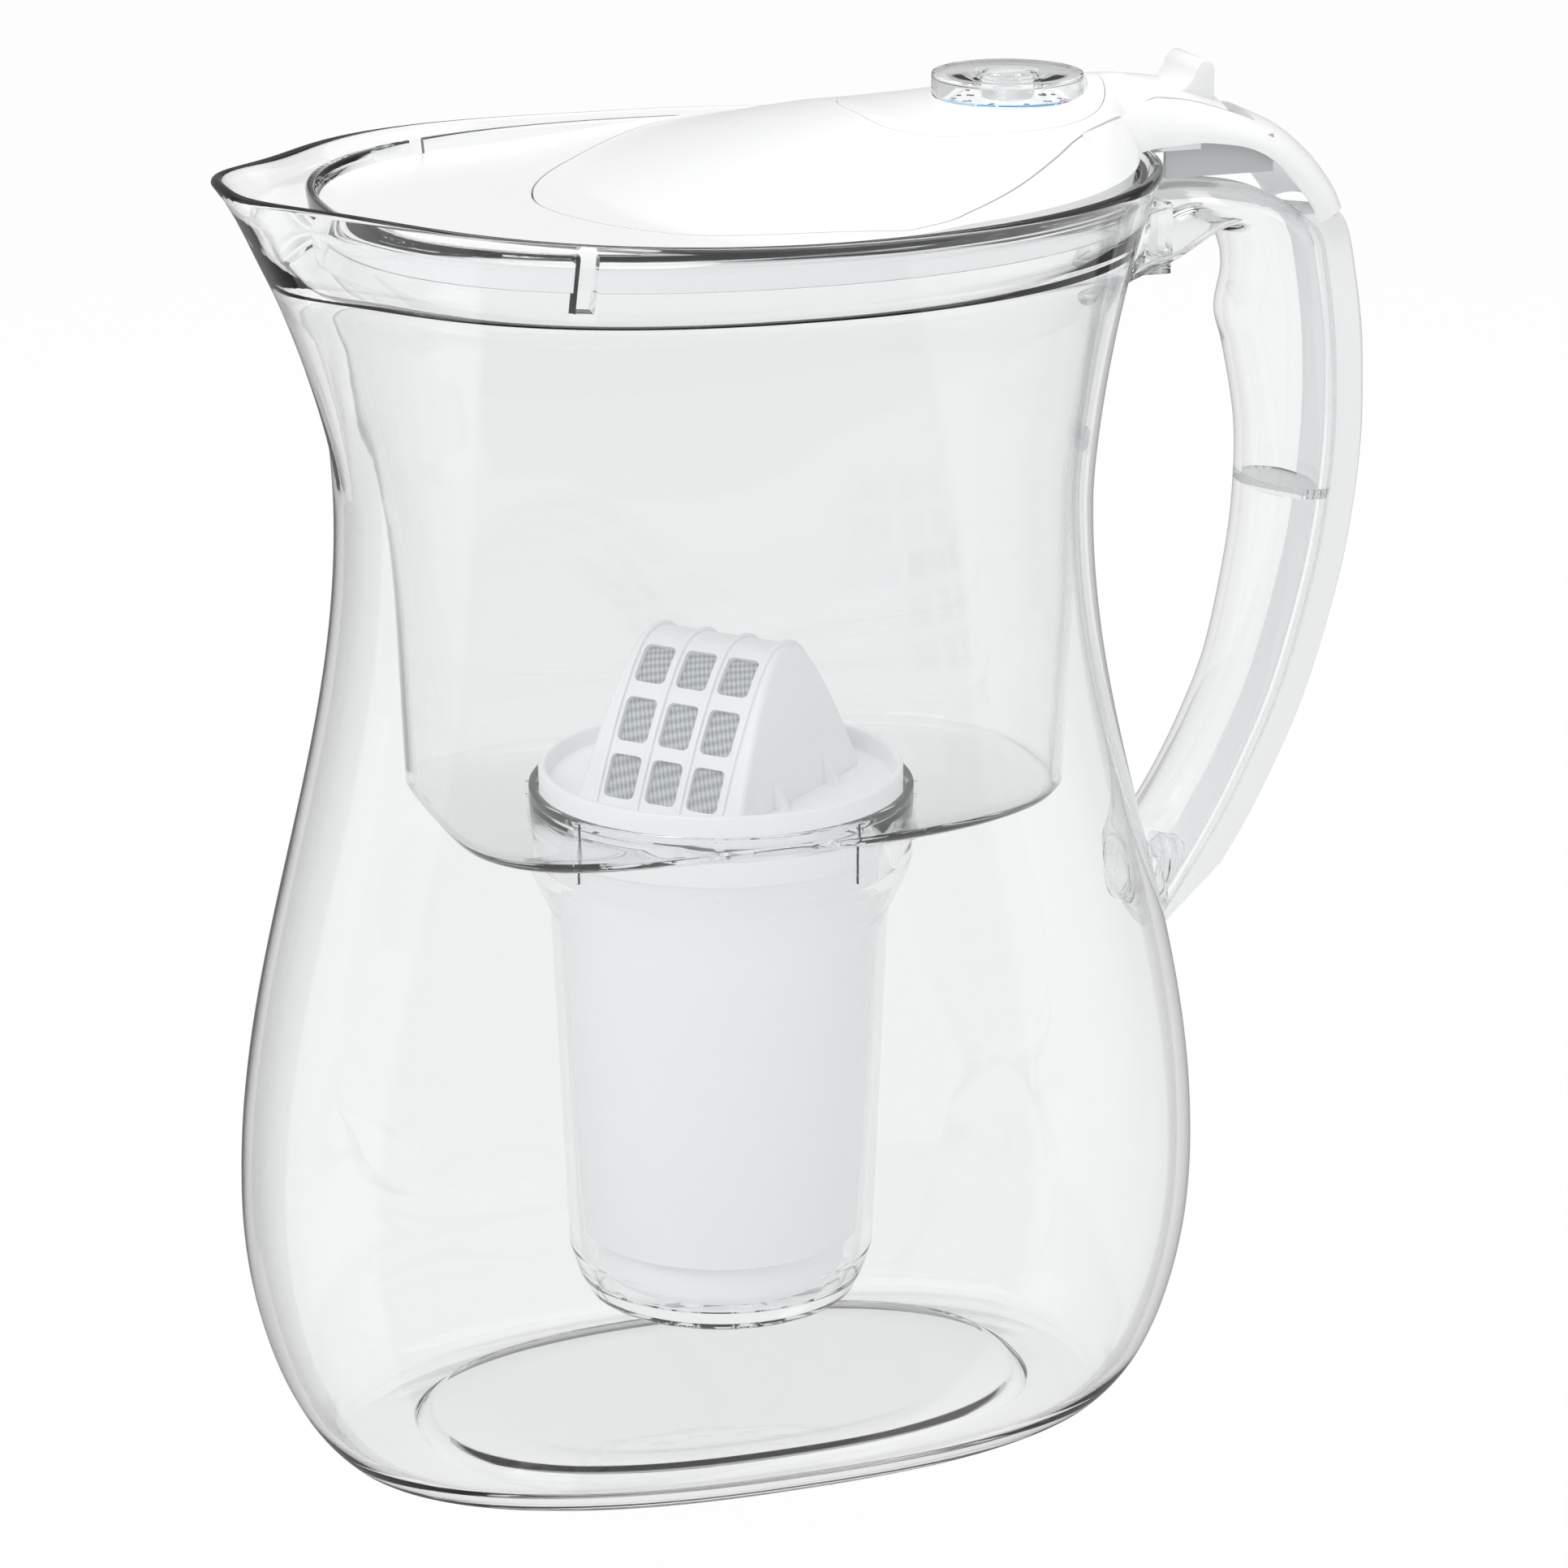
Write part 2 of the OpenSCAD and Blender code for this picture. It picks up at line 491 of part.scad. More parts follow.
// clear cup under the hopper that holds the cartridge
module filter_cup() color([0.88, 0.92, 0.96, 0.4]) translate([axis_x, 0, 0]) {
    r2 = body_foot_r + 1.2;
    difference() {
        rotate_extrude($fn = 96)
            polygon([
                [0, cup_foot_z], [r2 - 5, cup_foot_z], [r2 - 1.6, cup_foot_z + 1.3],
                [r2 + 0.2, cup_foot_z + 5],
                [r2 + cup_wall + 0.1, body_foot_z - 4], [body_top_r + cup_wall - 0.2, 105], [cup_r - 0.4, 114],
                [cup_r, 116], [cup_r, hopper_floor_z + 3.4], [cup_r - cup_wall, hopper_floor_z + 3.4],
                [cup_r - cup_wall, ring_foot_z - seat_play], [collar_r + cup_play, ring_foot_z - seat_play],
                [collar_r + cup_play, 116], [body_top_r + 0.2, 108], [body_top_r - 0.3, 105],
                [r2 - 0.2, body_foot_z - 4], [r2 - 1.6, cup_foot_z + 5.6], [r2 - 4, cup_foot_z + 2.6],
                [r2 - 6.5, cup_foot_z + cup_wall], [0, cup_foot_z + cup_wall]]);
        for (k = [0:7])
            rotate([0, 0, 45 * k])
                translate([13, 0, cup_foot_z - 1])
                    cylinder(r = 2.6, h = 4, $fn = 32);
    }
    for (k = [0:7])
        rotate([0, 0, -109 + 45 * k])
            translate([cup_r - cup_wall + 0.2, -0.6, collar_foot_z - 1.4])
                cube([cup_wall + 0.4, 1.2, 12]);
}

// white tapered cartridge body with its collar
module cartridge_body() color([0.97, 0.97, 0.97]) translate([axis_x, 0, 0])
    difference() {
        rotate_extrude($fn = 96)
            polygon([
                [0, body_foot_z], [body_foot_r, body_foot_z], [body_top_r - 0.7, 107], [body_top_r, 113],
                [body_top_r + 1.4, collar_foot_z - 2], [collar_r - 0.5, collar_foot_z], [collar_r, collar_foot_z],
                [collar_r, ring_foot_z + 0.6], [collar_r - cart_wall, ring_foot_z + 0.6],
                [collar_r - cart_wall, collar_foot_z + 1], [body_top_r - cart_wall, 112],
                [body_foot_r - cart_wall, body_foot_z + 1.6], [0, body_foot_z + 1.6]]);
        for (k = [0:5])
            rotate([0, 0, 60 * k])
                translate([11, 0, body_foot_z - 1])
                    cylinder(r = 4, h = 4, $fn = 32);
    }

// white tray with a raised rim that seats on the filter cup
module cartridge_tray() color([0.97, 0.97, 0.97]) translate([axis_x, 0, 0])
    difference() {
        rotate_extrude($fn = 96)
            polygon([
                [14, ring_foot_z + 0.4], [24, ring_foot_z], [ring_r - 0.3, ring_foot_z], [ring_r, ring_foot_z + 0.8],
                [ring_r, ring_z - 0.4], [ring_r - 0.4, ring_z], [ring_r - 1.1, ring_z],
                [ring_r - 1.5, ring_z - 0.4], [ring_r - 1.8, ring_foot_z + 2.4], [26, ring_foot_z + 1.6],
                [14, ring_foot_z + 1.8]]);
        for (k = [0:3])
            rotate([0, 0, 90 * k + 18])
                translate([29.5, 0, ring_foot_z - 1])
                    cylinder(r = 0.8, h = 6, $fn = 24);
    }

// outline of the dome arch, drawn out or in by off
function arch_pt(a, off) = [(dome_half_w + off) * sgnpow(cos(a), 2 / 2.5),
    (dome_h + off) * pow(max(0, sin(a)), 2 / 2.1)];
function arch_line(off, n = 26) = [for (i = [0:n]) arch_pt(180 * i / n, off)];
// prism of an arch outline between x0 and x1
module arch_bar(off, x0, x1) {
    translate([x0, 0, dome_foot_z])
        rotate([90, 0, 90])
            linear_extrude(height = x1 - x0)
                polygon(arch_line(off));
}
// sloped ends of the dome
module dome_ends(off) {
    translate([0, 40, dome_foot_z])
        rotate([90, 0, 0])
            linear_extrude(height = 80)
                polygon([[-dome_half_l - off, 0], [dome_half_l + off, 0],
                    [dome_half_l - 3.2 + off, dome_h + 3], [-dome_half_l + 3.2 - off, dome_h + 3]]);
}
// mesh windows as rounded slots, rows over the arch
WIN_ROWS = [[22, 8.6], [46, 8.8], [71, 6.4], [109, 6.4], [134, 8.8], [158, 8.6]];
module window_cuts() {
    for (w = WIN_ROWS) {
        p = arch_pt(w[0], 0);
        q = arch_pt(w[0] + 1, 0) - arch_pt(w[0] - 1, 0);
        tilt = atan2(q[1], q[0]);
        for (c = [-1:1])
            translate([c * window_pitch, p[0], dome_foot_z + p[1]])
                rotate([tilt - 180, 0, 0])
                    translate([0, 0, -4])
                        linear_extrude(height = 8)
                            polygon(round_rect(window_w, w[1], 1.2));
    }
}

// white bridge over the tray with three columns of mesh windows
module cartridge_dome() color([0.97, 0.97, 0.97]) translate([axis_x, 0, 0]) rotate([0, 0, dome_turn]) {
    difference() {
        intersection() {
            arch_bar(0, -30, 30);
            dome_ends(0);
        }
        intersection() {
            arch_bar(-1.5, -30, 30);
            dome_ends(-1.5);
        }
        window_cuts();
    }
    for (c = [-1.5:1:1.5])
        difference() {
            arch_bar(0.7, c * window_pitch - 0.55, c * window_pitch + 0.55);
            arch_bar(-0.4, -30, 30);
        }
    for (sx = [-1, 1], sy = [-1, 1])
        translate([sx * 9, sy * (dome_half_w - 3), dome_foot_z])
            cube([1, 7, 7], center = true);
}

// grey woven sheet behind the windows
module cartridge_mesh() color([0.62, 0.64, 0.66]) translate([axis_x, 0, 0]) rotate([0, 0, dome_turn])
    difference() {
        arch_bar(-1.1, -13.6, 13.6);
        arch_bar(-1.6, -20, 20);
    }

// white base cap with outlet holes
module cartridge_cap() color([0.96, 0.96, 0.96]) translate([axis_x, 0, 0])
    difference() {
        rotate_extrude($fn = 96)
            polygon([
                [0, cap_foot_z], [cap_r - 3.4, cap_foot_z], [cap_r - 1.4, cap_foot_z + 0.7],
                [cap_r - 0.3, cap_foot_z + 2.4], [cap_r, body_foot_z], [cap_r - 1.4, body_foot_z],
                [cap_r - 1.8, cap_foot_z + 3], [cap_r - 3.6, cap_foot_z + 1.5], [0, cap_foot_z + 1.5]]);
        for (k = [0:11])
            rotate([0, 0, 30 * k])
                translate([15, 0, cap_foot_z - 1])
                    cylinder(r = 1.4, h = 4, $fn = 24);
    }

// packed granules sealed in the cartridge
module filter_media() color([0.25, 0.25, 0.25]) translate([axis_x, 0, body_foot_z + 2.6])
    cylinder(r1 = body_foot_r - cart_wall - 0.3, r2 = body_top_r - cart_wall - 0.7, h = collar_foot_z - body_foot_z - 13.4);

// fine screen over the outlet of the cartridge
module outlet_screen() color([0.7, 0.7, 0.7]) translate([axis_x, 0, body_foot_z + 1.6])
    cylinder(r = body_foot_r - cart_wall - 0.6, h = 0.8);

// skirt of the lid, from the hopper step up to just under the lid surface
module skirt() {
    stack([for (s = [0, 1]) each [
        for (k = s == 0 ? [0, 1] : [1, 0])
            [for (i = [0:round_steps - 1]) let (t = 360 * i / round_steps,
                p = k == 0 ? jug_pt(t, step_z + seat_play, lid_off + s * skirt_t, false)
                    : lid_edge(t, s * skirt_t, skirt_drop))
                [p[0], p[1], k == 0 ? step_z + seat_play : lid_z(p[0], p[1]) - skirt_drop]]]], wrap = true);
}
// room for the shoulders of the flap as they swing back over the cover
module flap_swing_room() {
    intersection() {
        translate([swing_x - 1, -40, 200])
            cube([pocket_end_x - swing_x, 80, 100]);
        column(200, 300)
            for (dx = [0, swing_room])
                translate([dx, 0])
                    flap_plan(-seam);
    }
}

// white lid: plate, skirt, seat plate under the flap and cover over the handle
module lid_base() color([0.97, 0.97, 0.97]) translate([axis_x, 0, 0])
    difference() {
        union() {
            difference() {
                union() {
                    lid_shell(0, skin_t);
                    cover();
                }
                column(200, 300)
                    flap_plan(-seam);
                flap_swing_room();
            }
            difference() {
                lid_shell(skin_t + seat_gap, skin_t + seat_gap + seat_t, 0.2);
                column(200, 300)
                    polygon([for (i = [0:39]) let (a = 9 * i) [29 + 50 * cos(a), 44 * sin(a)]]);
                translate([70, -30, 200])
                    cube([40, 60, 100]);
            }
            difference() {
                skirt();
                flap_swing_room();
            }
            for (s = [-1, 1])
                translate([hinge_x - 4, s > 0 ? neck_play_w : -neck_play_w - cheek_t, hinge_z - 2.9])
                    cube([8, cheek_t, 5]);
            for (x = [106, 113.5])
                intersection() {
                    translate([x, -cover_half_w + 1, 230])
                        cube([1.4, 2 * cover_half_w - 2, 30]);
                    stack([for (i = [4:7]) cover_ring(i, COVER[i][2] - 1, 0.6)], strip = true);
                }
        }
        translate([hinge_x - 9, -neck_play_w, 230])
            cube([pocket_end_x - hinge_x + 9, 2 * neck_play_w, 40]);
        bar(hinge_x, hinge_z, pin_r, 13);
    }

// pin through the lid cheeks and the flap barrel
module hinge_pin() color([0.75, 0.76, 0.78]) translate([axis_x, 0, 0])
    bar(hinge_x, hinge_z, pin_r, 12.6);

// white flap with its hinge barrel
module flip_lid() color([0.98, 0.98, 0.98]) translate([axis_x, 0, 0])
    difference() {
        union() {
            difference() {
                intersection() {
                    union() {
                        lid_shell(0, skin_t);
                        difference() {
                            cover();
                            lid_shell(skin_t, 16, -1);
                        }
                    }
                    column(200, 300)
                        flap_plan(0);
                }
                column(200, 300)
                    island_plan(0.15);
            }
            bar(hinge_x, hinge_z, barrel_r, neck_half_w - 0.2);
            translate([hinge_x - 2, -neck_half_w + 0.2, hinge_z])
                cube([4, 2 * neck_half_w - 0.4, crest_z - 4.4 - hinge_z]);
        }
        bar(hinge_x, hinge_z, pin_r + pin_play, 14);
    }

// thumb tab with a hollowed ramp, pressed back to raise the flap
module thumb_tab() color([0.98, 0.98, 0.98]) translate([axis_x, 0, 0])
    translate([hinge_x, tab_w / 2, rim_z])
        rotate([90, 0, 0])
            linear_extrude(height = tab_w)
                polygon(concat(
                    [[0.4, tab_up - 7.8]],
                    [for (a = [0:15:75]) [0.4 + 4.8 * sin(a), tab_up - 5.6 + 5.4 * (1 - cos(a))]],
                    [for (a = [110:-22:0]) [7 + 2 * cos(a), tab_up - 2 + 2 * sin(a)]],
                    [[9, tab_up - 7.8]]));

// white insert round the dial, with a round recess that holds it
module indicator_tray() color([0.98, 0.98, 0.98]) translate([axis_x, 0, 0])
    difference() {
        union() {
            intersection() {
                lid_shell(0, skin_t);
                column(200, 300)
                    island_plan(0);
            }
            intersection() {
                lid_shell(0, 6.2);
                translate([dial_x, 0, 240])
                    cylinder(r = dial_r + 2.2, h = 40);
            }
        }
        translate([dial_x, 0, seat_z])
            cylinder(r = dial_r + 0.8, h = 20);
    }

// white printed disc under the dial cover
module dial_disc() color([0.99, 0.99, 0.99]) translate([axis_x + dial_x, 0, seat_z])
    cylinder(r = dial_r - 1.3, h = 0.5);

// coloured ring on the disc
module dial_scale() color([0.1, 0.6, 0.85]) translate([axis_x + dial_x, 0, seat_z + 0.5])
    difference() {
        cylinder(r = dial_r - 1.4, h = 0.15);
        translate([0, 0, -1])
            cylinder(r = dial_r - 3.4, h = 3);
    }

// fixed spindle that the dial cover turns on
module dial_spindle() color([0.95, 0.95, 0.95]) translate([axis_x + dial_x, 0, seat_z + 0.5])
    cylinder(r = spindle_r, h = dial_h - 1.6);

// clear turning cover with a hub, a coin slot and a pointer
module dial_cover() color([0.9, 0.94, 0.98, 0.4]) translate([axis_x + dial_x, 0, seat_z + 0.35])
    difference() {
        cylinder(r = dial_r, h = dial_h);
        translate([0, 0, -1])
            difference() {
                cylinder(r = dial_r - 0.9, h = dial_h);
                cylinder(r = 5, h = 10);
            }
        translate([0, 0, -1])
            cylinder(r = spindle_r + dial_play, h = dial_h - 0.2);
        translate([-3.4, -0.8, dial_h - 0.5])
            cube([6.8, 1.6, 2]);
        translate([0, 0, -1])
            cylinder(r = 5.01, h = 1.4);
    }

jug_body();
handle_shell();
handle_spine();
handle_web();
neck_bracket();
foot_socket();
reservoir();
filter_cup();
cartridge_body();
cartridge_tray();
cartridge_dome();
cartridge_mesh();
cartridge_cap();
filter_media();
outlet_screen();
lid_base();
hinge_pin();
flip_lid();
thumb_tab();
indicator_tray();
dial_disc();
dial_scale();
dial_spindle();
dial_cover();
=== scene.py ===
# %% [markdown]
# # A water filter pitcher with a flip lid
# The pitcher is a clear moulded jug that holds a clear hopper, a white filter cartridge, and a
# white lid with a flap and a month dial. Clear plastic shows mostly at its edges, so every clear
# piece here is a closed wall with a true inside and outside, and light bends through it.
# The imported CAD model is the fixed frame. Each smooth piece is lofted again from the same rules,
# with more steps, and stands for its CAD node.

# %% Load the frame
import math
import bpy
import numpy as np
from mathutils import Matrix, Vector


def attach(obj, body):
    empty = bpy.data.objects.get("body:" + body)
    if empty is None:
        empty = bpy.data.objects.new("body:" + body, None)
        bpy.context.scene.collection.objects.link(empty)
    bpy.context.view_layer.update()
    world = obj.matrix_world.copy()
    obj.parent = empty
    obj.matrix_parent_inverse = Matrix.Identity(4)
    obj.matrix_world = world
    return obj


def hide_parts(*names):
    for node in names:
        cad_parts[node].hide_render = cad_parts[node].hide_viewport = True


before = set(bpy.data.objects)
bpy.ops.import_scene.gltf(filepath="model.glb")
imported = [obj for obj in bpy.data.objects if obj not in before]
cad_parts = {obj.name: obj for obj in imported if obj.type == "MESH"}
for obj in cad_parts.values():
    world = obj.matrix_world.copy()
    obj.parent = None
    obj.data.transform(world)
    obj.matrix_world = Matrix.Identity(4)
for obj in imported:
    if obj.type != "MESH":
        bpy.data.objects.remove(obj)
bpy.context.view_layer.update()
MM = 0.001
AXIS_X = -18.6  # the filter axis stands here, in millimetres along the length

# %% [markdown]
# ## Helpers for meshes
# A moulded wall is a stack of closed sections. `loft` skins such a stack: the sections may end in
# a pole, or the last one may meet the first again. All pieces are built in millimetres about the
# filter axis, and `make_piece` moves them into the frame and gives them their body, the node that
# they stand for and their finish.

# %% Mesh helpers
def mesh_from(name, points, faces):
    mesh = bpy.data.meshes.new(name)
    mesh.from_pydata([tuple(p) for p in points], [], [tuple(f) for f in faces])
    mesh.update()
    return mesh


def loft(rings, closed=False):
    """Points and faces of a skin through rings of equal counts, with poles at both ends."""
    n = len(rings[0])
    m = len(rings)
    points = np.concatenate(rings)
    index = np.arange(n)
    following = (index + 1) % n
    faces = []
    for j in range(m if closed else m - 1):
        a, b = j * n, ((j + 1) % m) * n
        faces += np.stack([a + index, b + index, b + following, a + following], 1).tolist()
    if not closed:
        for ring, start, turn in ((rings[0], 0, 1), (rings[-1], (m - 1) * n, -1)):
            pole = len(points)
            points = np.vstack([points, ring.mean(0)])
            faces += [[pole, start + i, start + (i + 1) % n][::turn] for i in range(n)]
    return points, faces


def outward(mesh):
    """Turns a closed mesh right side out, by the sign of its volume."""
    points = np.empty(len(mesh.vertices) * 3)
    mesh.vertices.foreach_get("co", points)
    points = points.reshape(-1, 3)
    mesh.calc_loop_triangles()
    tri = np.empty(len(mesh.loop_triangles) * 3, int)
    mesh.loop_triangles.foreach_get("vertices", tri)
    a, b, c = (points[tri.reshape(-1, 3)[:, k]] for k in range(3))
    if np.einsum("ij,ij->i", a, np.cross(b, c)).sum() < 0:
        mesh.flip_normals()
    return mesh


def as_object(name, points, faces):
    piece = bpy.data.objects.new(name, outward(mesh_from(name, points, faces)))
    bpy.context.scene.collection.objects.link(piece)
    return piece


def prism(name, first, second):
    """A closed block between two equal outlines."""
    n = len(first)
    faces = [[i, (i + 1) % n, n + (i + 1) % n, n + i] for i in range(n)]
    return as_object(name, [*first, *second], faces + [list(range(n))[::-1], list(range(n, 2 * n))])


def round_outline(x, y, radius, steps):
    angle = np.arange(steps) * 2 * np.pi / steps
    return np.stack([x + radius * np.cos(angle), y + radius * np.sin(angle)], 1)


def applied(piece):
    """The piece with its modifiers turned into plain mesh."""
    graph = bpy.context.evaluated_depsgraph_get()
    mesh = bpy.data.meshes.new_from_object(piece.evaluated_get(graph))
    piece.modifiers.clear()
    old = piece.data
    piece.data = mesh
    bpy.data.meshes.remove(old)
    return piece


def carve(piece, operation, *tools):
    """Joins, cuts or keeps the common part of a piece and other closed pieces."""
    for tool in tools:
        step = piece.modifiers.new("carve", "BOOLEAN")
        step.operation = operation
        step.solver = "EXACT"
        step.object = tool
        applied(piece)
        bpy.data.objects.remove(tool)
    return piece


def soften(piece, width, segments=2, angle=40):
    """Rounds the hard edges of a piece, as a mould does."""
    bevel = piece.modifiers.new("soft edges", "BEVEL")
    bevel.width = width
    bevel.segments = segments
    bevel.limit_method = "ANGLE"
    bevel.angle_limit = math.radians(angle)
    bevel.harden_normals = False
    return applied(piece)


def make_piece(piece, body, material, nodes=(), smooth=35):
    """Moves a finished piece into the frame and says what it is."""
    mesh = piece.data
    points = np.empty(len(mesh.vertices) * 3)
    mesh.vertices.foreach_get("co", points)
    points = points.reshape(-1, 3)
    points[:, 0] += AXIS_X
    mesh.vertices.foreach_set("co", (points * MM).ravel())
    mesh.update()
    if smooth:
        mesh.shade_smooth()
        mesh.set_sharp_from_angle(angle=math.radians(smooth))
    kinds = np.zeros(len(mesh.polygons), int)
    mesh.polygons.foreach_get("material_index", kinds)
    mesh.materials.clear()
    for one in material if isinstance(material, list) else [material]:
        mesh.materials.append(one)
    mesh.polygons.foreach_set("material_index", kinds if isinstance(material, list) else kinds * 0)
    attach(piece, body)
    if nodes:
        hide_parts(*nodes)
    print(piece.name, len(mesh.polygons), "faces")
    return piece


# %% [markdown]
# ## Shader maths in plain expressions
# A material is easier to read as arithmetic than as a pile of nodes. `Wire` wraps one socket, so
# that `noise * 0.2 + 0.3` adds the Math nodes by itself, and `Finish` holds one material and
# makes any other node from its type, its settings and its inputs.

# %% Wires and finishes
class Wire:
    def __init__(self, finish, socket):
        self.finish, self.socket = finish, socket

    def _math(self, operation, first, second=None):
        inputs = {0: first} if second is None else {0: first, 1: second}
        return self.finish.node("ShaderNodeMath", {"operation": operation}, inputs)

    def __add__(self, other):
        return self._math("ADD", self, other)

    def __sub__(self, other):
        return self._math("SUBTRACT", self, other)

    def __mul__(self, other):
        return self._math("MULTIPLY", self, other)

    def __radd__(self, other):
        return self._math("ADD", other, self)

    def __rsub__(self, other):
        return self._math("SUBTRACT", other, self)

    def __rmul__(self, other):
        return self._math("MULTIPLY", other, self)

    def __gt__(self, other):
        return self._math("GREATER_THAN", self, other)

    def __lt__(self, other):
        return self._math("LESS_THAN", self, other)


class Finish:
    def __init__(self, name):
        self.material = bpy.data.materials.new(name)
        self.material.use_nodes = True
        self.tree = self.material.node_tree
        self.tree.nodes.clear()

    def node(self, kind, settings=None, inputs=None, output=0):
        made = self.tree.nodes.new(kind)
        for key, value in (settings or {}).items():
            if key == "stops":
                ramp = made.color_ramp
                while len(ramp.elements) < len(value):
                    ramp.elements.new(0.5)
                for element, (position, colour) in zip(ramp.elements, value):
                    element.position = position
                    element.color = (*colour, 1)
            else:
                setattr(made, key, value)
        for key, value in (inputs or {}).items():
            if isinstance(value, Wire):
                self.tree.links.new(value.socket, made.inputs[key])
            else:
                made.inputs[key].default_value = value
        return Wire(self, made.outputs[output])

    def place(self):
        return self.node("ShaderNodeTexCoord", output=3)

    def noise(self, scale, detail):
        return self.node("ShaderNodeTexNoise", {}, {
            "Vector": self.place(), "Scale": scale, "Detail": detail, "Roughness": 0.5})

    def blend(self, factor, first, second):
        return self.node("ShaderNodeMix", {"data_type": "RGBA"}, {0: factor, 6: first, 7: second}, 2)

    def bump(self, height, strength, distance):
        return self.node("ShaderNodeBump", {}, {"Height": height, "Strength": strength, "Distance": distance})

    def surface(self, shader):
        out = self.tree.nodes.new("ShaderNodeOutputMaterial")
        self.tree.links.new(shader.socket, out.inputs["Surface"])
        return self.material


# %% [markdown]
# ## The finishes
# Three plastics make the pitcher. The clear one bends light like glass and has a faint swirl from
# the mould. Its shadow is let through, because a real clear wall hardly dims what stands behind
# it, and a path tracer alone would leave the inside dark. The two white ones differ in gloss: the
# lid is soft gloss with a very fine skin texture, the cartridge is satin.

# %% Clear plastic
def clear_plastic(name, swirl=0.05, edge=0.5, bend=1.46, tint=0.955, painted_light_from=9.0):
    """Clear moulding, with painted shade that greys its colour where it is seen edge-on, and painted light
    that makes it paler above a given height.
    """
    f = Finish(name)
    height = f.node("ShaderNodeSeparateXYZ", {}, {0: f.place()}, 2)
    # painted light: the colour turns paler above this height
    painted_top_light = f.node("ShaderNodeMapRange", {}, {0: height, 1: painted_light_from, 2: painted_light_from + 0.006})
    facing = f.node("ShaderNodeLayerWeight", {}, {"Blend": 0.5}, 1)
    rim = facing * facing
    fine = f.noise(260.0, 2.0)
    body = f.blend(fine, (tint, tint + 0.003, tint + 0.004, 1), (tint - 0.008, tint - 0.004, tint - 0.002, 1))
    clear = f.blend(painted_top_light, body, (0.988, 0.991, 0.992, 1))
    # painted shade: the colour greys where the wall is seen edge-on, less so above that height
    painted_edge_shade = f.blend(painted_top_light, (edge, edge * 1.01, edge * 1.02, 1), (0.72, 0.725, 0.73, 1))
    shell = f.node("ShaderNodeBsdfPrincipled", {}, {
        "Base Color": f.blend(rim * rim, clear, painted_edge_shade),
        "Roughness": fine * 0.006 + 0.008,
        "IOR": bend, "Transmission Weight": 1.0,
        "Normal": f.bump(f.noise(30.0, 1.0), swirl, 0.0006)})
    through = f.node("ShaderNodeBsdfTransparent", {}, {"Color": (0.992, 0.995, 0.995, 1)})
    light = f.tree.nodes.new("ShaderNodeLightPath")
    passes = Wire(f, light.outputs["Is Shadow Ray"]) + Wire(f, light.outputs["Is Diffuse Ray"])
    return f.surface(f.node("ShaderNodeMixShader", {}, {0: passes, 1: shell, 2: through}))


# Each clear finish sets the grey of its painted edge shade; the jug and the hopper also set the height above
# which painted light makes them paler.
jug_plastic = clear_plastic("clear_jug_plastic", edge=0.15, painted_light_from=0.229)
grip_plastic = clear_plastic("clear_grip_plastic", edge=0.4, tint=0.97)
hopper_plastic = clear_plastic("clear_hopper_plastic", 0.02, 0.5, tint=0.98, painted_light_from=0.229)
dial_plastic = clear_plastic("clear_dial_plastic", 0.01, 0.8, 1.33, 0.99)


# %% [markdown]
# The white plastics are plain Principled shaders with a cloudy hint of shade and a fine
# grain, so that a broad white surface is never one flat colour.

# %% White plastics
def white_plastic(name, colour, roughness, skin, mottle=0.012):
    f = Finish(name)
    cloud = f.noise(22.0, 3.0)
    grain = f.noise(1400.0, 2.0)
    shade = tuple(c * (1 - mottle * 4) for c in colour)
    return f.surface(f.node("ShaderNodeBsdfPrincipled", {}, {
        "Base Color": f.blend(cloud * 0.5 + 0.2, (*colour, 1), (*shade, 1)),
        "Roughness": cloud * 0.06 + grain * 0.05 + (roughness - 0.05),
        "IOR": 1.49,
        "Normal": f.bump(grain, skin, 0.00004)}))


lid_white = white_plastic("lid_white_gloss", (0.90, 0.903, 0.906), 0.25, 0.012, 0.004)
grip_white = white_plastic("grip_white_gloss", (0.90, 0.903, 0.906), 0.28, 0.012, 0.004)
cartridge_white = white_plastic("cartridge_white_satin", (0.94, 0.942, 0.945), 0.40, 0.03, 0.004)
pin_white = white_plastic("pin_white_satin", (0.82, 0.825, 0.83), 0.40, 0.03)
# The rails under the cover are white plastic; this grey is painted shade.
painted_shade_grey = white_plastic("rail_painted_shade_grey", (0.50, 0.505, 0.51), 0.45, 0.03)

# %% [markdown]
# The screen behind the windows is two crossed wave patterns, light threads over dark gaps. The
# granules are small random cells.

# %% Woven screen and granules
def woven_screen(name, thread, hollow, pitch):
    f = Finish(name)
    turned = f.node("ShaderNodeMapping", {}, {"Vector": f.place(), "Rotation": (0.3, 0.2, math.radians(-49))})
    wires = []
    for direction in ("X", "Y"):
        wires.append(f.node("ShaderNodeTexWave", {"wave_type": "BANDS", "bands_direction": direction},
                            {"Vector": turned, "Scale": 0.314 / pitch, "Distortion": 0.4}, 1))
    weave = wires[0] * 0.5 + wires[1] * 0.5
    return f.surface(f.node("ShaderNodeBsdfPrincipled", {}, {
        "Base Color": f.blend(weave, (*hollow, 1), (*thread, 1)),
        "Roughness": weave * 0.1 + 0.5,
        "Normal": f.bump(weave, 0.6, 0.0002)}))


def carbon_granules(name):
    f = Finish(name)
    cells = f.node("ShaderNodeTexVoronoi", {}, {"Vector": f.place(), "Scale": 900.0})
    return f.surface(f.node("ShaderNodeBsdfPrincipled", {}, {
        "Base Color": f.blend(cells, (0.03, 0.03, 0.032, 1), (0.10, 0.10, 0.11, 1)),
        "Roughness": cells * 0.2 + 0.6,
        "Normal": f.bump(cells, 0.8, 0.0004)}))


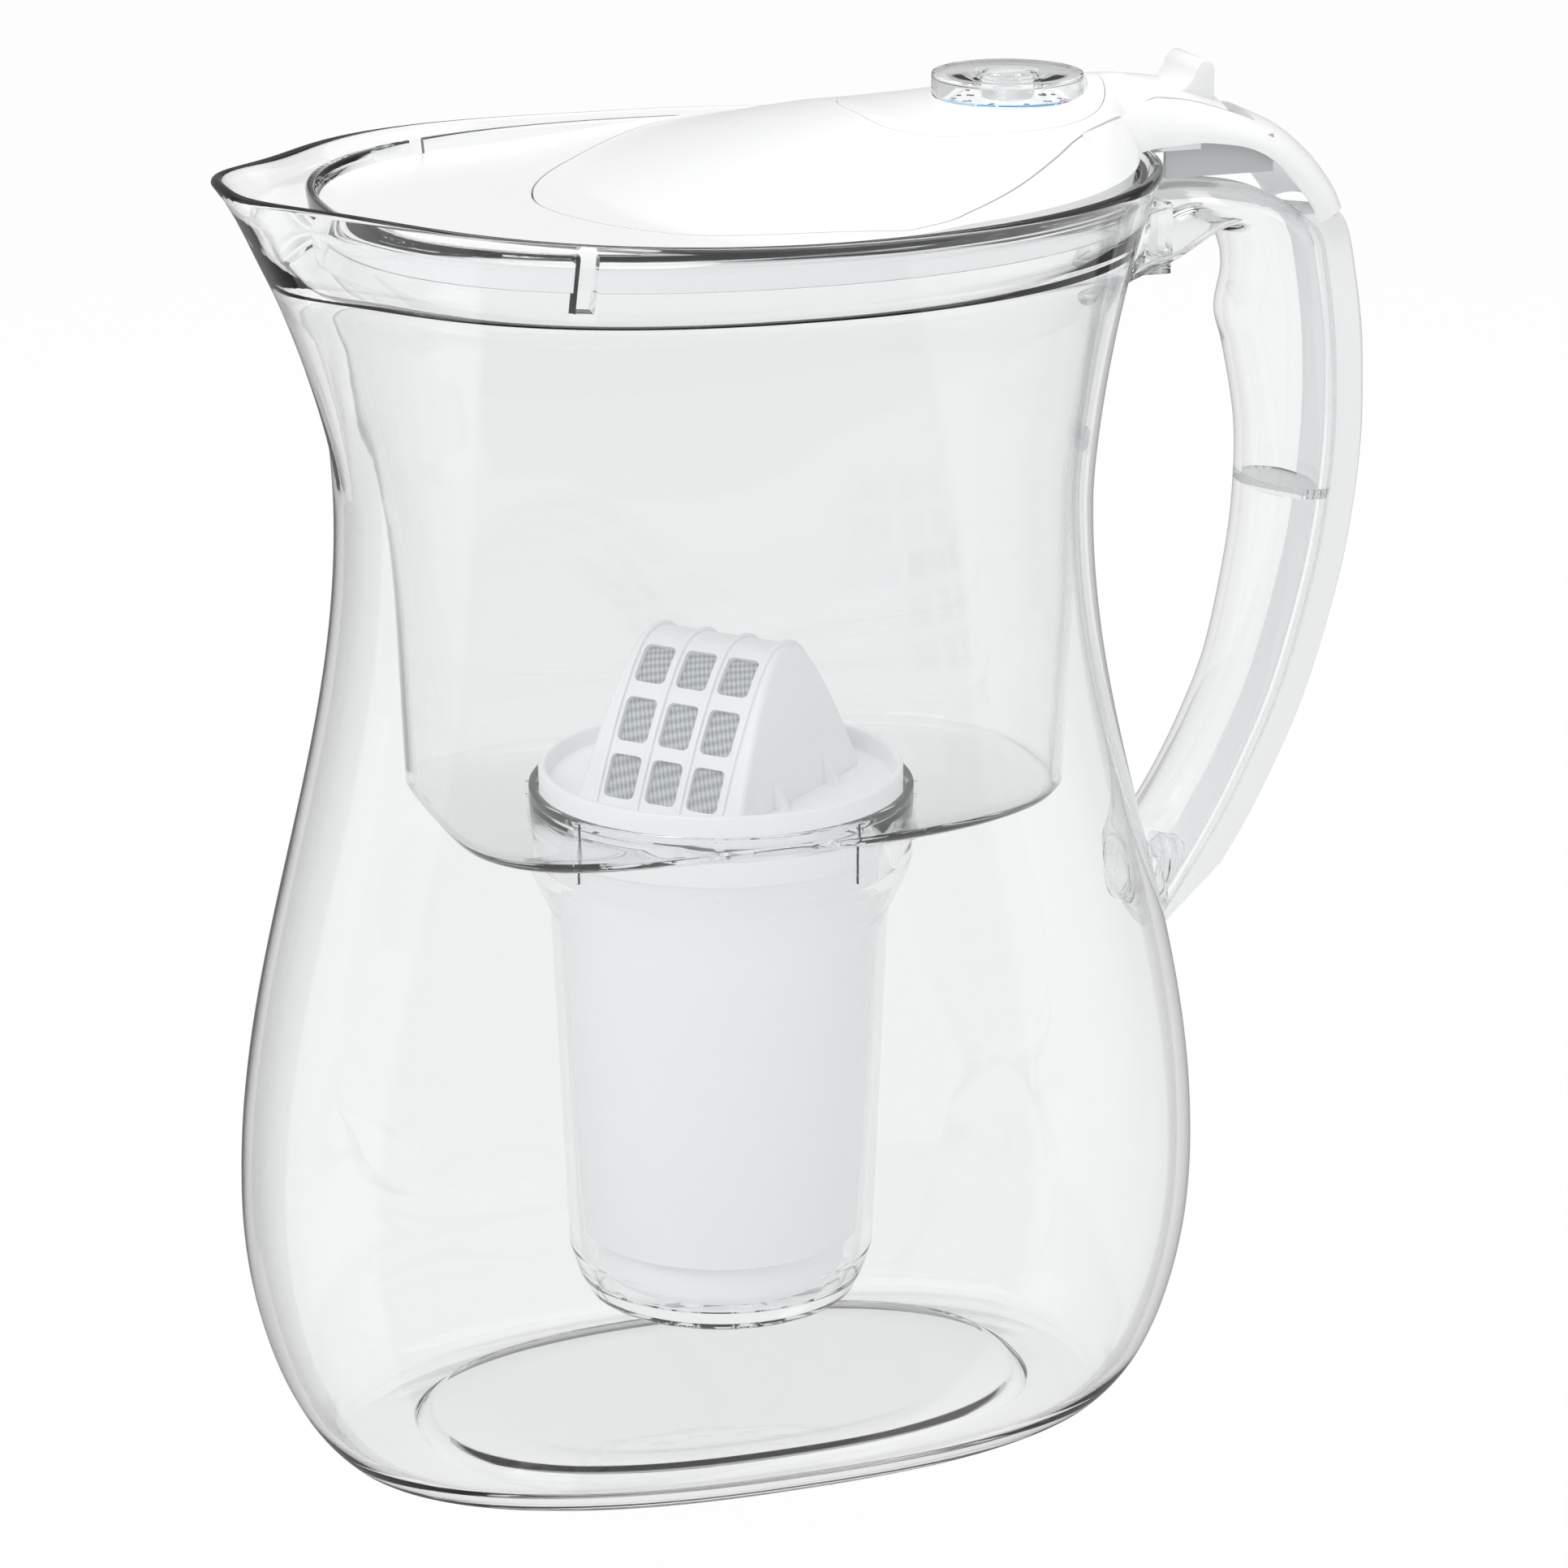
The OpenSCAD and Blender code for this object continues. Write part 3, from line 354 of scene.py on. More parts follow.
screen_grey = woven_screen("woven_screen_grey", (0.66, 0.68, 0.70), (0.30, 0.32, 0.34), 0.0009)
granules = carbon_granules("packed_granules")


# %% [markdown]
# Printed ink is a flat colour with a faint speck, a little glossy. The ring uses five such inks.

# %% Printed colours of the dial
def printed(name, colour, roughness=0.3):
    f = Finish(name)
    speck = f.noise(900.0, 3.0)
    darker = tuple(c * 0.93 for c in colour)
    return f.surface(f.node("ShaderNodeBsdfPrincipled", {}, {
        "Base Color": f.blend(speck * 0.6, (*colour, 1), (*darker, 1)),
        "Roughness": speck * 0.1 + roughness - 0.05,
        "Normal": f.bump(speck, 0.05, 0.00003)}))


print_white = printed("dial_print_white", (0.88, 0.885, 0.89))
print_cyan = printed("dial_print_cyan", (0.02, 0.36, 0.70))
print_sky = printed("dial_print_sky", (0.40, 0.66, 0.84))
print_magenta = printed("dial_print_magenta", (0.62, 0.05, 0.30))
print_grey = printed("dial_print_grey", (0.42, 0.47, 0.55))
print_dark = printed("dial_print_dark", (0.05, 0.06, 0.08))

# %% [markdown]
# ## The rules of the jug
# The jug is an oval that changes with height: a foot, a wide low belly, a narrow waist and a
# flared rim. Each section is a superellipse with its own front and back, so the same few sizes
# give the jug, the hopper band inside it and the lid. The spout is a soft lobe that is pushed out
# of the front of the section and grows towards the rim.

# %% Sizes of the jug
SPOUT_REACH = 95.0
RIM_Z, RIM_RISE = 247.7, 3.8
BELLY_Z, WAIST_Z = 51.0, 186.0
FRONT = (76.3, 94.0, 72.2, 78.0)  # half length towards the spout: foot, belly, waist, rim
BACK = (77.6, 94.4, 71.2, 86.0)  # half length towards the handle
SIDE = (44.9, 60.5, 53.5, 67.9)  # half width
SPOUT_HALF_W, SPOUT_LOW_Z = 23.5, 190.0
JUG_WALL, LIP_WALL, LEDGE_WALL = 2.6, 2.2, 3.6
LEDGE_Z, STEP_Z = RIM_Z - 14.7, RIM_Z - 8.2
FOOT_RECESS, JUG_FLOOR = 2.2, 2.6
FRONT_N = 2.35  # squareness of the section towards the spout


def mix(a, b, t):
    return a + (b - a) * t


def ease(t):
    t = np.clip(t, 0, 1)
    return t * t * (3 - 2 * t)


def spow(value, power):
    return np.sign(value) * np.abs(value) ** power


def girth(z, sizes):
    """Half size of the jug at a height, from its foot, belly, waist and rim."""
    foot, belly, waist, rim = sizes
    if z < BELLY_Z:
        low = 1 - z / BELLY_Z
        return belly - (belly - foot) * (0.75 * low ** 2.1 + 0.25 * low ** 9)
    if z < WAIST_Z:
        return mix(belly, waist, (1 - math.cos(math.pi * (z - BELLY_Z) / (WAIST_Z - BELLY_Z))) / 2)
    return mix(waist, rim, ((z - WAIST_Z) / (RIM_Z - WAIST_Z)) ** 1.6)


def back_n(z):
    return mix(2.4, 1.95, ease((z - WAIST_Z) / (RIM_Z - WAIST_Z)))


def oval(angle, front, back, side, n_front, n_back):
    c, s = np.cos(angle), np.sin(angle)
    n = np.where(c < 0, n_front, n_back)
    return np.where(c < 0, front, back) * spow(c, 2 / n), side * spow(s, 2 / n)


# %% [markdown]
# One function gives the outline at a height and an inset, so walls of any thickness come from
# the same rule. The spout lobe and the lift of the rim towards it are added here.

# %% The outline of the jug at any height
def jug_outline(z, inset, spout=True, steps=208):
    angle = np.arange(steps) * 2 * np.pi / steps
    x, y = oval(angle, girth(z, FRONT) - inset, girth(z, BACK) - inset, girth(z, SIDE) - inset,
                FRONT_N, back_n(z))
    if spout:
        grown = max(0.0, (z - SPOUT_LOW_Z) / (RIM_Z - SPOUT_LOW_Z))
        reach = (SPOUT_REACH - FRONT[3]) * (0.72 * grown ** 1.35 + 0.28 * grown ** 7)
        half = mix(7, SPOUT_HALF_W, ease(grown)) - inset * 0.5
        x = x - np.where(x < 0, reach / (1 + (y / half) ** 4), 0)
    return x, y


def rim_lift(x, z):
    return RIM_RISE * (np.maximum(0, -x) / SPOUT_REACH) ** 1.5 * ease((z - LEDGE_Z) / (RIM_Z - LEDGE_Z))


def jug_ring(z, inset, height=None):
    x, y = jug_outline(z, inset)
    return np.stack([x, y, (z if height is None else height) + rim_lift(x, z)], 1)


def foot_ring(z, share, steps=208):
    angle = np.arange(steps) * 2 * np.pi / steps
    x, y = oval(angle, FRONT[0] * share, BACK[0] * share, SIDE[0] * share, 2.4, 2.4)
    return np.stack([x, y, np.full(steps, float(z))], 1)


# %% [markdown]
# ## The clear jug
# The wall is one closed stack: from the recess under the foot, out and up the outside, over a
# round rim, down the inside past the ledge that carries the hopper, and in over the raised floor.
# Rounded corners at the rim and the foot catch the thin dark lines that clear mouldings show.

# %% Build the jug
def build_jug():
    rings = [foot_ring(FOOT_RECESS, s) for s in (0.02, 0.3, 0.6, 0.755)]
    rings += [foot_ring(FOOT_RECESS - 0.35, 0.775), foot_ring(0.25, 0.80), foot_ring(0, 0.812)]
    rings += [jug_ring(0, 1.6), jug_ring(0.25, 0.7), jug_ring(0.8, 0.2)]
    rings += [jug_ring(z, 0) for z in np.concatenate([np.linspace(1.5, 20, 16), np.linspace(23, 244, 86)])]
    for turn in np.linspace(0, np.pi, 9):
        rings.append(jug_ring(RIM_Z - 1.1, LIP_WALL / 2 * (1 - math.cos(turn)) - 0.05,
                              RIM_Z - 1.1 + 1.1 * math.sin(turn)))
    rings += [jug_ring(z, LIP_WALL) for z in (243, 239, LEDGE_Z + 0.25)]
    rings += [jug_ring(LEDGE_Z, LIP_WALL + 0.25), jug_ring(LEDGE_Z, LEDGE_WALL - 0.2),
              jug_ring(LEDGE_Z - 0.25, LEDGE_WALL), jug_ring(LEDGE_Z - 3, LEDGE_WALL - 0.35)]
    rings += [jug_ring(z, JUG_WALL) for z in np.linspace(LEDGE_Z - 6, 11, 72)]
    rings += [jug_ring(7.2, JUG_WALL + 0.25), jug_ring(5.2, JUG_WALL + 0.8), jug_ring(4.1, JUG_WALL + 1.5),
              jug_ring(3.4, JUG_WALL + 2.4), jug_ring(3.0, JUG_WALL + 3.6)]
    rings += [foot_ring(JUG_FLOOR, s) for s in (0.90, 0.81)]
    rings += [foot_ring(JUG_FLOOR + 0.3, 0.79), foot_ring(JUG_FLOOR + FOOT_RECESS - 0.3, 0.765)]
    rings += [foot_ring(JUG_FLOOR + FOOT_RECESS, s) for s in (0.745, 0.5, 0.25, 0.02)]
    return as_object("jug_clear_wall", *loft(rings))


make_piece(build_jug(), "jug", jug_plastic, ["jug_body"], smooth=60)


# %% [markdown]
# ## The clear handle
# The grip is a hollow bow with a bump for the first finger. It is lofted along stations that give
# the inner and the outer point of each section, with a smooth curve drawn through them. The white
# strip clasps its back, from the lid down to the foot of the grip.

# %% Smooth curve through stations
def curve_through(stations, steps):
    """Catmull-Rom curve through rows of numbers, with a given number of steps per span."""
    rows = np.array(stations, float)
    ends = np.vstack([2 * rows[0] - rows[1], rows, 2 * rows[-1] - rows[-2]])
    out = []
    for i in range(len(rows) - 1):
        p0, p1, p2, p3 = ends[i:i + 4]
        for t in np.arange(steps) / steps:
            out.append(0.5 * (2 * p1 + (p2 - p0) * t + (2 * p0 - 5 * p1 + 4 * p2 - p3) * t ** 2
                              + (3 * p1 - p0 - 3 * p2 + p3) * t ** 3))
    return np.vstack(out + [rows[-1]])


# %% [markdown]
# Each station holds the inner and the outer point of one section in the middle plane. Measured
# points would leave dents, so the curve runs smoothly through them.

# %% Stations of the grip
GRIP_HALF_W, GRIP_WALL = 12.0, 2.0
SPINE_T, SPINE_WRAP = 6.0, math.radians(34)
GRIP = [  # inner x and z, outer x and z
    [78.5, 220.5, 84.5, 239.5], [83, 222.5, 89.5, 240.5], [88.6, 225, 98, 240.3],
    [95.6, 230.6, 107, 238.6], [100, 231.8, 114.5, 235.2], [102.7, 228, 121.6, 229.7],
    [104, 222, 123.9, 220.5], [102.6, 213.8, 125.5, 211], [104.7, 206, 126.1, 202],
    [107.6, 191.5, 126.1, 189.2], [108, 178.4, 124.8, 175.4], [106.9, 165.2, 122.1, 160.5],
    [103.2, 145.2, 116.1, 140], [98.1, 131.7, 109.4, 124.4], [92.4, 120.6, 101.6, 109.7],
    [86.6, 111.6, 91, 93.6]]
SPINE_TOP = [101, 230.8, 118.2, 233.4]


def grip_section(station, angles, grow_depth, half_w):
    inner, outer = np.array(station[:2]), np.array(station[2:])
    centre, across = (inner + outer) / 2, outer - inner
    depth = np.linalg.norm(across) / 2
    across = across / np.linalg.norm(across)
    reach = (depth + grow_depth) * spow(np.cos(angles), 2 / 2.2)
    return np.stack([centre[0] + across[0] * reach, half_w * spow(np.sin(angles), 2 / 2.2),
                     centre[1] + across[1] * reach], 1)


# %% [markdown]
# The shell is an outer and an inner skin joined at their ends. The strip covers a part of the
# turn round the back and thins out at both ends.

# %% Build the grip and its white strip
def build_grip():
    path = curve_through(GRIP, 7)
    angles = -np.arange(72) * 2 * np.pi / 72
    outside = [grip_section(s, angles, 0, GRIP_HALF_W) for s in path]
    inside = [grip_section(s, angles, -GRIP_WALL, GRIP_HALF_W - GRIP_WALL) for s in path[::-1]]
    return as_object("grip_clear_shell", *loft(outside + inside, closed=True))


def build_strip():
    path = curve_through([SPINE_TOP] + GRIP[5:], 7)
    turn = np.linspace(SPINE_WRAP, -SPINE_WRAP, 40)
    rings = []
    for i, station in enumerate(path):
        taper = min(1, 0.25 + i / 4, 0.35 + (len(path) - 1 - i) / 9)
        out = grip_section(station, turn, SPINE_T * taper, GRIP_HALF_W + 0.6)
        back = grip_section(station, turn[::-1], -0.3, GRIP_HALF_W - 0.3)
        rings.append(np.vstack([out, back]))
    return soften(as_object("grip_white_strip", *loft(rings)), 0.5, 2, 50)


make_piece(build_grip(), "jug", grip_plastic, ["handle_shell"], smooth=60)
make_piece(build_strip(), "jug", grip_white, ["handle_spine"])


# %% [markdown]
# ## The clear hopper
# The hopper hangs in the jug by a band round its top and slopes in to a floor with a round hole,
# where the filter cup sits. It is lofted like the jug, inside and outside in one closed stack. Two
# narrow slots in the band let air out while water runs in.

# %% Sizes of the hopper and the filter
BAND_PLAY, BAND_T, LID_PLAY, STEP_W = 0.4, 1.8, 0.35, 1.2
BAND_OFF = LIP_WALL + BAND_PLAY
LID_OFF = BAND_OFF + BAND_T + LID_PLAY
SEAT_PLAY = 0.15
BAND_TOP_Z = RIM_Z - 1.2
HOPPER_FLOOR_Z, HOPPER_WALL = 127.0, 1.9
HOPPER_FRONT, HOPPER_BACK, HOPPER_HALF_W = 57.0, 66.5, 41.0
RING_R, RING_Z, RING_H = 35.0, 134.1, 5.8
RING_FOOT_Z = RING_Z - RING_H
COLLAR_R, COLLAR_H = 33.6, 8.9
BODY_TOP_R, BODY_FOOT_R, BODY_FOOT_Z = 31.0, 26.7, 40.0
CAP_R, CAP_H = 24.4, 9.5
CUP_PLAY, CUP_WALL = 0.35, 1.7
CUP_FOOT_Z = BODY_FOOT_Z - CAP_H - 3 - CUP_WALL
CUP_R = RING_R + CUP_PLAY + CUP_WALL
HOLE_R = CUP_R - 0.6


def hopper_ring(z, share, inset, steps=160):
    t = (z - HOPPER_FLOOR_Z) / (LEDGE_Z - HOPPER_FLOOR_Z)
    u = max(0.0, t) ** 1.5
    low_part = 0.557  # below this share of the height the section is boxy
    if t < low_part:
        squareness = mix(4.3, FRONT_N, 0.81 * ease(t / low_part))
    else:
        squareness = mix(2.8, FRONT_N, ease((t - low_part) / (1 - low_part)))
    front = mix(HOPPER_FRONT, FRONT[3] - 6.4, 0.35 * t + 0.65 * spow(t, 2.2))
    back = min(mix(HOPPER_BACK, girth(LEDGE_Z, BACK) - LEDGE_WALL - 1, 0.35 * t + 0.65 * t ** 3),
               girth(max(z, WAIST_Z), BACK) - JUG_WALL - 0.5)
    side = mix(HOPPER_HALF_W, girth(LEDGE_Z, SIDE) - LEDGE_WALL - 0.8, 0.62 * t + 0.38 * t ** 4)
    angle = np.arange(steps) * 2 * np.pi / steps
    x, y = oval(angle, (front - inset) * share, (back - inset) * share, (side - inset) * share,
                squareness, mix(2.6, back_n(z), u))
    return np.stack([x, y, np.full(steps, float(z))], 1)


def band_ring(z, inset, steps=160):
    x, y = jug_outline(z, inset, False, steps)
    return np.stack([x, y, np.full(steps, float(z))], 1)


def hole_ring(z, radius, steps=160):
    return np.column_stack([round_outline(0, 0, radius, steps), np.full(steps, float(z))])


# %% [markdown]
# The wall goes up outside, over the band, and down inside to the hole in the floor. The air slots
# are cut last.

# %% Build the hopper
def box_piece(name, low, high):
    x, y, z = zip(low, high)
    points = [(x[i], y[j], z[k]) for i in (0, 1) for j in (0, 1) for k in (0, 1)]
    faces = [(0, 1, 3, 2), (4, 6, 7, 5), (0, 4, 5, 1), (2, 3, 7, 6), (0, 2, 6, 4), (1, 5, 7, 3)]
    return as_object(name, points, faces)


def column(name, outline, low=200.0, high=300.0):
    return prism(name, *([(x, y, z) for x, y in outline] for z in (low, high)))


def build_hopper():
    rise = np.linspace(HOPPER_FLOOR_Z + 2.5, LEDGE_Z - 0.8, 46)
    rings = [hole_ring(HOPPER_FLOOR_Z - 1.5, HOLE_R)]
    rings += [hopper_ring(HOPPER_FLOOR_Z - 0.2, 0.90, 0), hopper_ring(HOPPER_FLOOR_Z + 0.2, 0.955, 0),
              hopper_ring(HOPPER_FLOOR_Z + 1.1, 0.985, 0)]
    rings += [hopper_ring(z, 1, 0) for z in rise]
    rings += [hopper_ring(LEDGE_Z + SEAT_PLAY, 1, 0), band_ring(LEDGE_Z + SEAT_PLAY, BAND_OFF + 0.2)]
    rings += [band_ring(z, BAND_OFF) for z in (LEDGE_Z + 0.4, 240, BAND_TOP_Z - 0.5)]
    rings += [band_ring(BAND_TOP_Z, BAND_OFF + 0.45), band_ring(BAND_TOP_Z, BAND_OFF + BAND_T - 0.45)]
    rings += [band_ring(z, BAND_OFF + BAND_T) for z in (BAND_TOP_Z - 0.5, 242, STEP_Z + 0.1)]
    rings += [band_ring(z, BAND_OFF + BAND_T + STEP_W) for z in (STEP_Z, LEDGE_Z + 2.4)]
    rings += [hopper_ring(z, 1, HOPPER_WALL) for z in rise[::-1]]
    rings += [hopper_ring(HOPPER_FLOOR_Z + 2.3, 0.975, HOPPER_WALL),
              hopper_ring(HOPPER_FLOOR_Z + 1.8, 0.93, HOPPER_WALL)]
    rings += [hole_ring(HOPPER_FLOOR_Z + 0.4, HOLE_R)]
    hopper = as_object("hopper_clear_wall", *loft(rings, closed=True))
    for side in (-1, 1):
        carve(hopper, "DIFFERENCE", box_piece("slot", (-43.5, min(40 * side, 90 * side), LEDGE_Z + 2.6),
                                              (-40.5, max(40 * side, 90 * side), 262)))
    return hopper


make_piece(build_hopper(), "hopper", hopper_plastic, ["reservoir"], smooth=50)


# %% [markdown]
# ## The filter cup and the turned parts of the cartridge
# Cup, cartridge body, tray and base cap are turned shapes: an outline spun about the filter axis.
# Small corner arcs are worked into each outline, so that no edge is razor sharp.

# %% Turned pieces
def rounded(outline, radius=0.35, steps=3):
    """Replaces each corner of a closed outline that bends by a short arc-like curve."""
    points = [np.array(p, float) for p in outline]
    out = []
    for i, corner in enumerate(points):
        before, after = points[i - 1], points[(i + 1) % len(points)]
        if corner[0] < 1e-6:
            out.append(corner)
            continue
        reach = min(radius, 0.42 * np.linalg.norm(before - corner), 0.42 * np.linalg.norm(after - corner))
        a = corner + (before - corner) / np.linalg.norm(before - corner) * reach
        b = corner + (after - corner) / np.linalg.norm(after - corner) * reach
        out += [(1 - t) ** 2 * a + 2 * t * (1 - t) * corner + t ** 2 * b for t in np.linspace(0, 1, steps)]
    return out


def turned(name, outline, steps=192, radius=0.35):
    rings = []
    for r, z in rounded(outline, radius):
        circle = round_outline(0, 0, max(r, 1e-4), steps)
        rings.append(np.column_stack([circle, np.full(steps, z)]))
    solid = outline[0][0] < 1e-6
    piece = as_object(name, *loft(rings, closed=not solid))
    weld = piece.modifiers.new("weld", "WELD")
    weld.merge_threshold = 0.002
    return applied(piece)


# %% [markdown]
# ## Repeated things by Geometry Nodes
# Ribs, ticks and windows repeat by a rule, so a node tree places them: it makes one copy of a
# shape, sets it on points round a ring or on given points, and turns the copies into plain mesh.
# Changing the count or the turn changes the whole set at once.

# %% Node tree helpers
class Grower:
    """A Geometry Nodes tree with named inputs, run once on an empty mesh."""

    def __init__(self, name):
        self.tree = bpy.data.node_groups.new(name, "GeometryNodeTree")
        face = self.tree.interface
        face.new_socket("Geometry", in_out="OUTPUT", socket_type="NodeSocketGeometry")
        face.new_socket("Geometry", in_out="INPUT", socket_type="NodeSocketGeometry")
        self.start = self.tree.nodes.new("NodeGroupInput")
        self.end = self.tree.nodes.new("NodeGroupOutput")
        self.values = {}

    def number(self, label, value, kind="NodeSocketFloat"):
        socket = self.tree.interface.new_socket(label, in_out="INPUT", socket_type=kind)
        self.values[socket.identifier] = value
        return self.start.outputs[label]

    def node(self, kind, settings=None, inputs=None):
        made = self.tree.nodes.new(kind)
        for key, value in (settings or {}).items():
            setattr(made, key, value)
        for key, value in (inputs or {}).items():
            if isinstance(value, bpy.types.NodeSocket):
                self.tree.links.new(value, made.inputs[key])
            else:
                made.inputs[key].default_value = value
        return made

    def maths(self, operation, first, second=0.0):
        return self.node("ShaderNodeMath", {"operation": operation}, {0: first, 1: second}).outputs[0]

    def grow(self, name, geometry, material, base=None):
        real = self.node("GeometryNodeRealizeInstances", {}, {"Geometry": geometry})
        dressed = self.node("GeometryNodeSetMaterial", {},
                            {"Geometry": real.outputs[0], "Material": material})
        self.tree.links.new(dressed.outputs[0], self.end.inputs[0])
        piece = bpy.data.objects.new(name, base or bpy.data.meshes.new(name))
        bpy.context.scene.collection.objects.link(piece)
        step = piece.modifiers.new("grow", "NODES")
        step.node_group = self.tree
        for identifier, value in self.values.items():
            step[identifier] = value
        return applied(piece)


def ring_of_bars(name, count, radius, size, height, turn, material):
    """Upright bars set evenly round the filter axis."""
    g = Grower(name + "_rule")
    number = g.number("Count", count, "NodeSocketInt")
    reach = g.number("Radius", radius)
    start = g.number("First turn", turn)
    level = g.number("Height", height)
    dots = g.node("GeometryNodePoints", {}, {"Count": number})
    index = g.node("GeometryNodeInputIndex").outputs[0]
    angle = g.maths("ADD", g.maths("DIVIDE", g.maths("MULTIPLY", index, 2 * math.pi), number), start)
    across, along = (g.maths("MULTIPLY", g.maths(wave, angle), reach) for wave in ("COSINE", "SINE"))
    spot = g.node("ShaderNodeCombineXYZ", {}, {0: across, 1: along, 2: level})
    placed = g.node("GeometryNodeSetPosition", {},
                    {"Geometry": dots.outputs[0], "Position": spot.outputs[0]})
    facing = g.node("ShaderNodeCombineXYZ", {}, {2: angle})
    bar = g.node("GeometryNodeMeshCube", {}, {"Size": size})
    copies = g.node("GeometryNodeInstanceOnPoints", {}, {
        "Points": placed.outputs[0], "Instance": bar.outputs[0], "Rotation": facing.outputs[0]})
    return g.grow(name, copies.outputs[0], material)


SLOT_BLANK = 8.6  # length of the slot that is copied, before each copy is stretched


def slots_on(name, spots, width, corner, depth, material):
    """Rounded slots, closed prisms, on points that carry their own way up and their length."""
    base = bpy.data.meshes.new(name)
    base.from_pydata([tuple(spot[0]) for spot in spots], [], [])
    way = base.attributes.new("way", "FLOAT_VECTOR", "POINT")
    way.data.foreach_set("vector", np.array([spot[1] for spot in spots], float).ravel())
    length = base.attributes.new("length", "FLOAT", "POINT")
    length.data.foreach_set("value", [float(spot[2]) for spot in spots])
    g = Grower(name + "_rule")
    wide = g.number("Width", width)
    deep = g.number("Depth", depth)
    outline = g.node("GeometryNodeCurvePrimitiveQuadrilateral", {}, {"Width": wide, "Height": SLOT_BLANK})
    outline = g.node("GeometryNodeFilletCurve", {"mode": "POLY"},
                     {"Curve": outline.outputs[0], "Radius": corner, "Count": 6})
    sheet = g.node("GeometryNodeFillCurve", {"mode": "NGONS"}, {"Curve": outline.outputs[0]})
    block = g.node("GeometryNodeExtrudeMesh", {}, {"Mesh": sheet.outputs[0], "Offset Scale": deep})
    back = g.node("GeometryNodeFlipFaces", {}, {"Mesh": sheet.outputs[0]})
    both = g.node("GeometryNodeJoinGeometry")
    g.tree.links.new(back.outputs[0], both.inputs[0])
    g.tree.links.new(block.outputs[0], both.inputs[0])
    closed = g.node("GeometryNodeMergeByDistance", {}, {"Geometry": both.outputs[0], "Distance": 0.001})
    centred = g.node("GeometryNodeTransform", {}, {"Geometry": closed.outputs[0]})
    half = g.node("ShaderNodeCombineXYZ", {}, {2: g.maths("MULTIPLY", deep, -0.5)})
    g.tree.links.new(half.outputs[0], centred.inputs["Translation"])
    lead = g.node("GeometryNodeInputNamedAttribute", {"data_type": "FLOAT_VECTOR"}, {"Name": "way"})
    size = g.node("GeometryNodeInputNamedAttribute", {"data_type": "FLOAT"}, {"Name": "length"})
    first = g.node("FunctionNodeAlignRotationToVector", {"axis": "X"}, {"Vector": (1.0, 0.0, 0.0)})
    turned_up = g.node("FunctionNodeAlignRotationToVector", {"axis": "Z", "pivot_axis": "X"},
                       {"Rotation": first.outputs[0], "Vector": lead.outputs[0]})
    stretch = g.maths("DIVIDE", size.outputs[0], SLOT_BLANK)
    scale = g.node("ShaderNodeCombineXYZ", {}, {0: 1.0, 1: stretch, 2: 1.0})
    copies = g.node("GeometryNodeInstanceOnPoints", {}, {
        "Points": g.start.outputs[0], "Instance": centred.outputs[0],
        "Rotation": turned_up.outputs[0], "Scale": scale.outputs[0]})
    return g.grow(name, copies.outputs[0], material, base)


# %% [markdown]
# The cup hugs the cartridge with a small clearance. It gets eight ribs from the node tree and a
# ring of outlet holes.

# %% Cup outline
CUP_FOOT_R = BODY_FOOT_R + 1.2
cup_outline = [
    (0, CUP_FOOT_Z), (CUP_FOOT_R - 5, CUP_FOOT_Z), (CUP_FOOT_R - 1.6, CUP_FOOT_Z + 1.3),
    (CUP_FOOT_R + 0.2, CUP_FOOT_Z + 5), (CUP_FOOT_R + CUP_WALL + 0.1, BODY_FOOT_Z - 4),
    (BODY_TOP_R + CUP_WALL - 0.2, 105), (CUP_R - 0.4, 114), (CUP_R, 116), (CUP_R, HOPPER_FLOOR_Z + 3.4),
    (CUP_R - CUP_WALL, HOPPER_FLOOR_Z + 3.4), (CUP_R - CUP_WALL, RING_FOOT_Z - SEAT_PLAY),
    (COLLAR_R + CUP_PLAY, RING_FOOT_Z - SEAT_PLAY), (COLLAR_R + CUP_PLAY, 116), (BODY_TOP_R + 0.2, 108),
    (BODY_TOP_R - 0.3, 105), (CUP_FOOT_R - 0.2, BODY_FOOT_Z - 4), (CUP_FOOT_R - 1.6, CUP_FOOT_Z + 5.6),
    (CUP_FOOT_R - 4, CUP_FOOT_Z + 2.6), (CUP_FOOT_R - 6.5, CUP_FOOT_Z + CUP_WALL), (0, CUP_FOOT_Z + CUP_WALL)]

OUTLET_RING_R, OUTLET_R = 13, 2.6
RIB_Z, FIRST_RIB = 124.0, math.radians(-109)  # one rib faces the camera

# %% [markdown]
# The cartridge is three turned pieces: the tapered body with its collar, the tray with a raised
# ring that carries the dome, and the base cap with its rounded foot.

# %% Cartridge outlines
CART_WALL = 1.6
COLLAR_FOOT_Z = RING_FOOT_Z - COLLAR_H
CAP_FOOT_Z = BODY_FOOT_Z - CAP_H
body_outline = [
    (0, BODY_FOOT_Z), (BODY_FOOT_R, BODY_FOOT_Z), (BODY_TOP_R - 0.7, 107), (BODY_TOP_R, 113),
    (BODY_TOP_R + 1.4, COLLAR_FOOT_Z - 2), (COLLAR_R - 0.5, COLLAR_FOOT_Z), (COLLAR_R, COLLAR_FOOT_Z + 0.4),
    (COLLAR_R, RING_FOOT_Z + 0.6), (COLLAR_R - CART_WALL, RING_FOOT_Z + 0.6),
    (COLLAR_R - CART_WALL, COLLAR_FOOT_Z + 1), (BODY_TOP_R - CART_WALL, 112),
    (BODY_FOOT_R - CART_WALL, BODY_FOOT_Z + 1.6), (0, BODY_FOOT_Z + 1.6)]
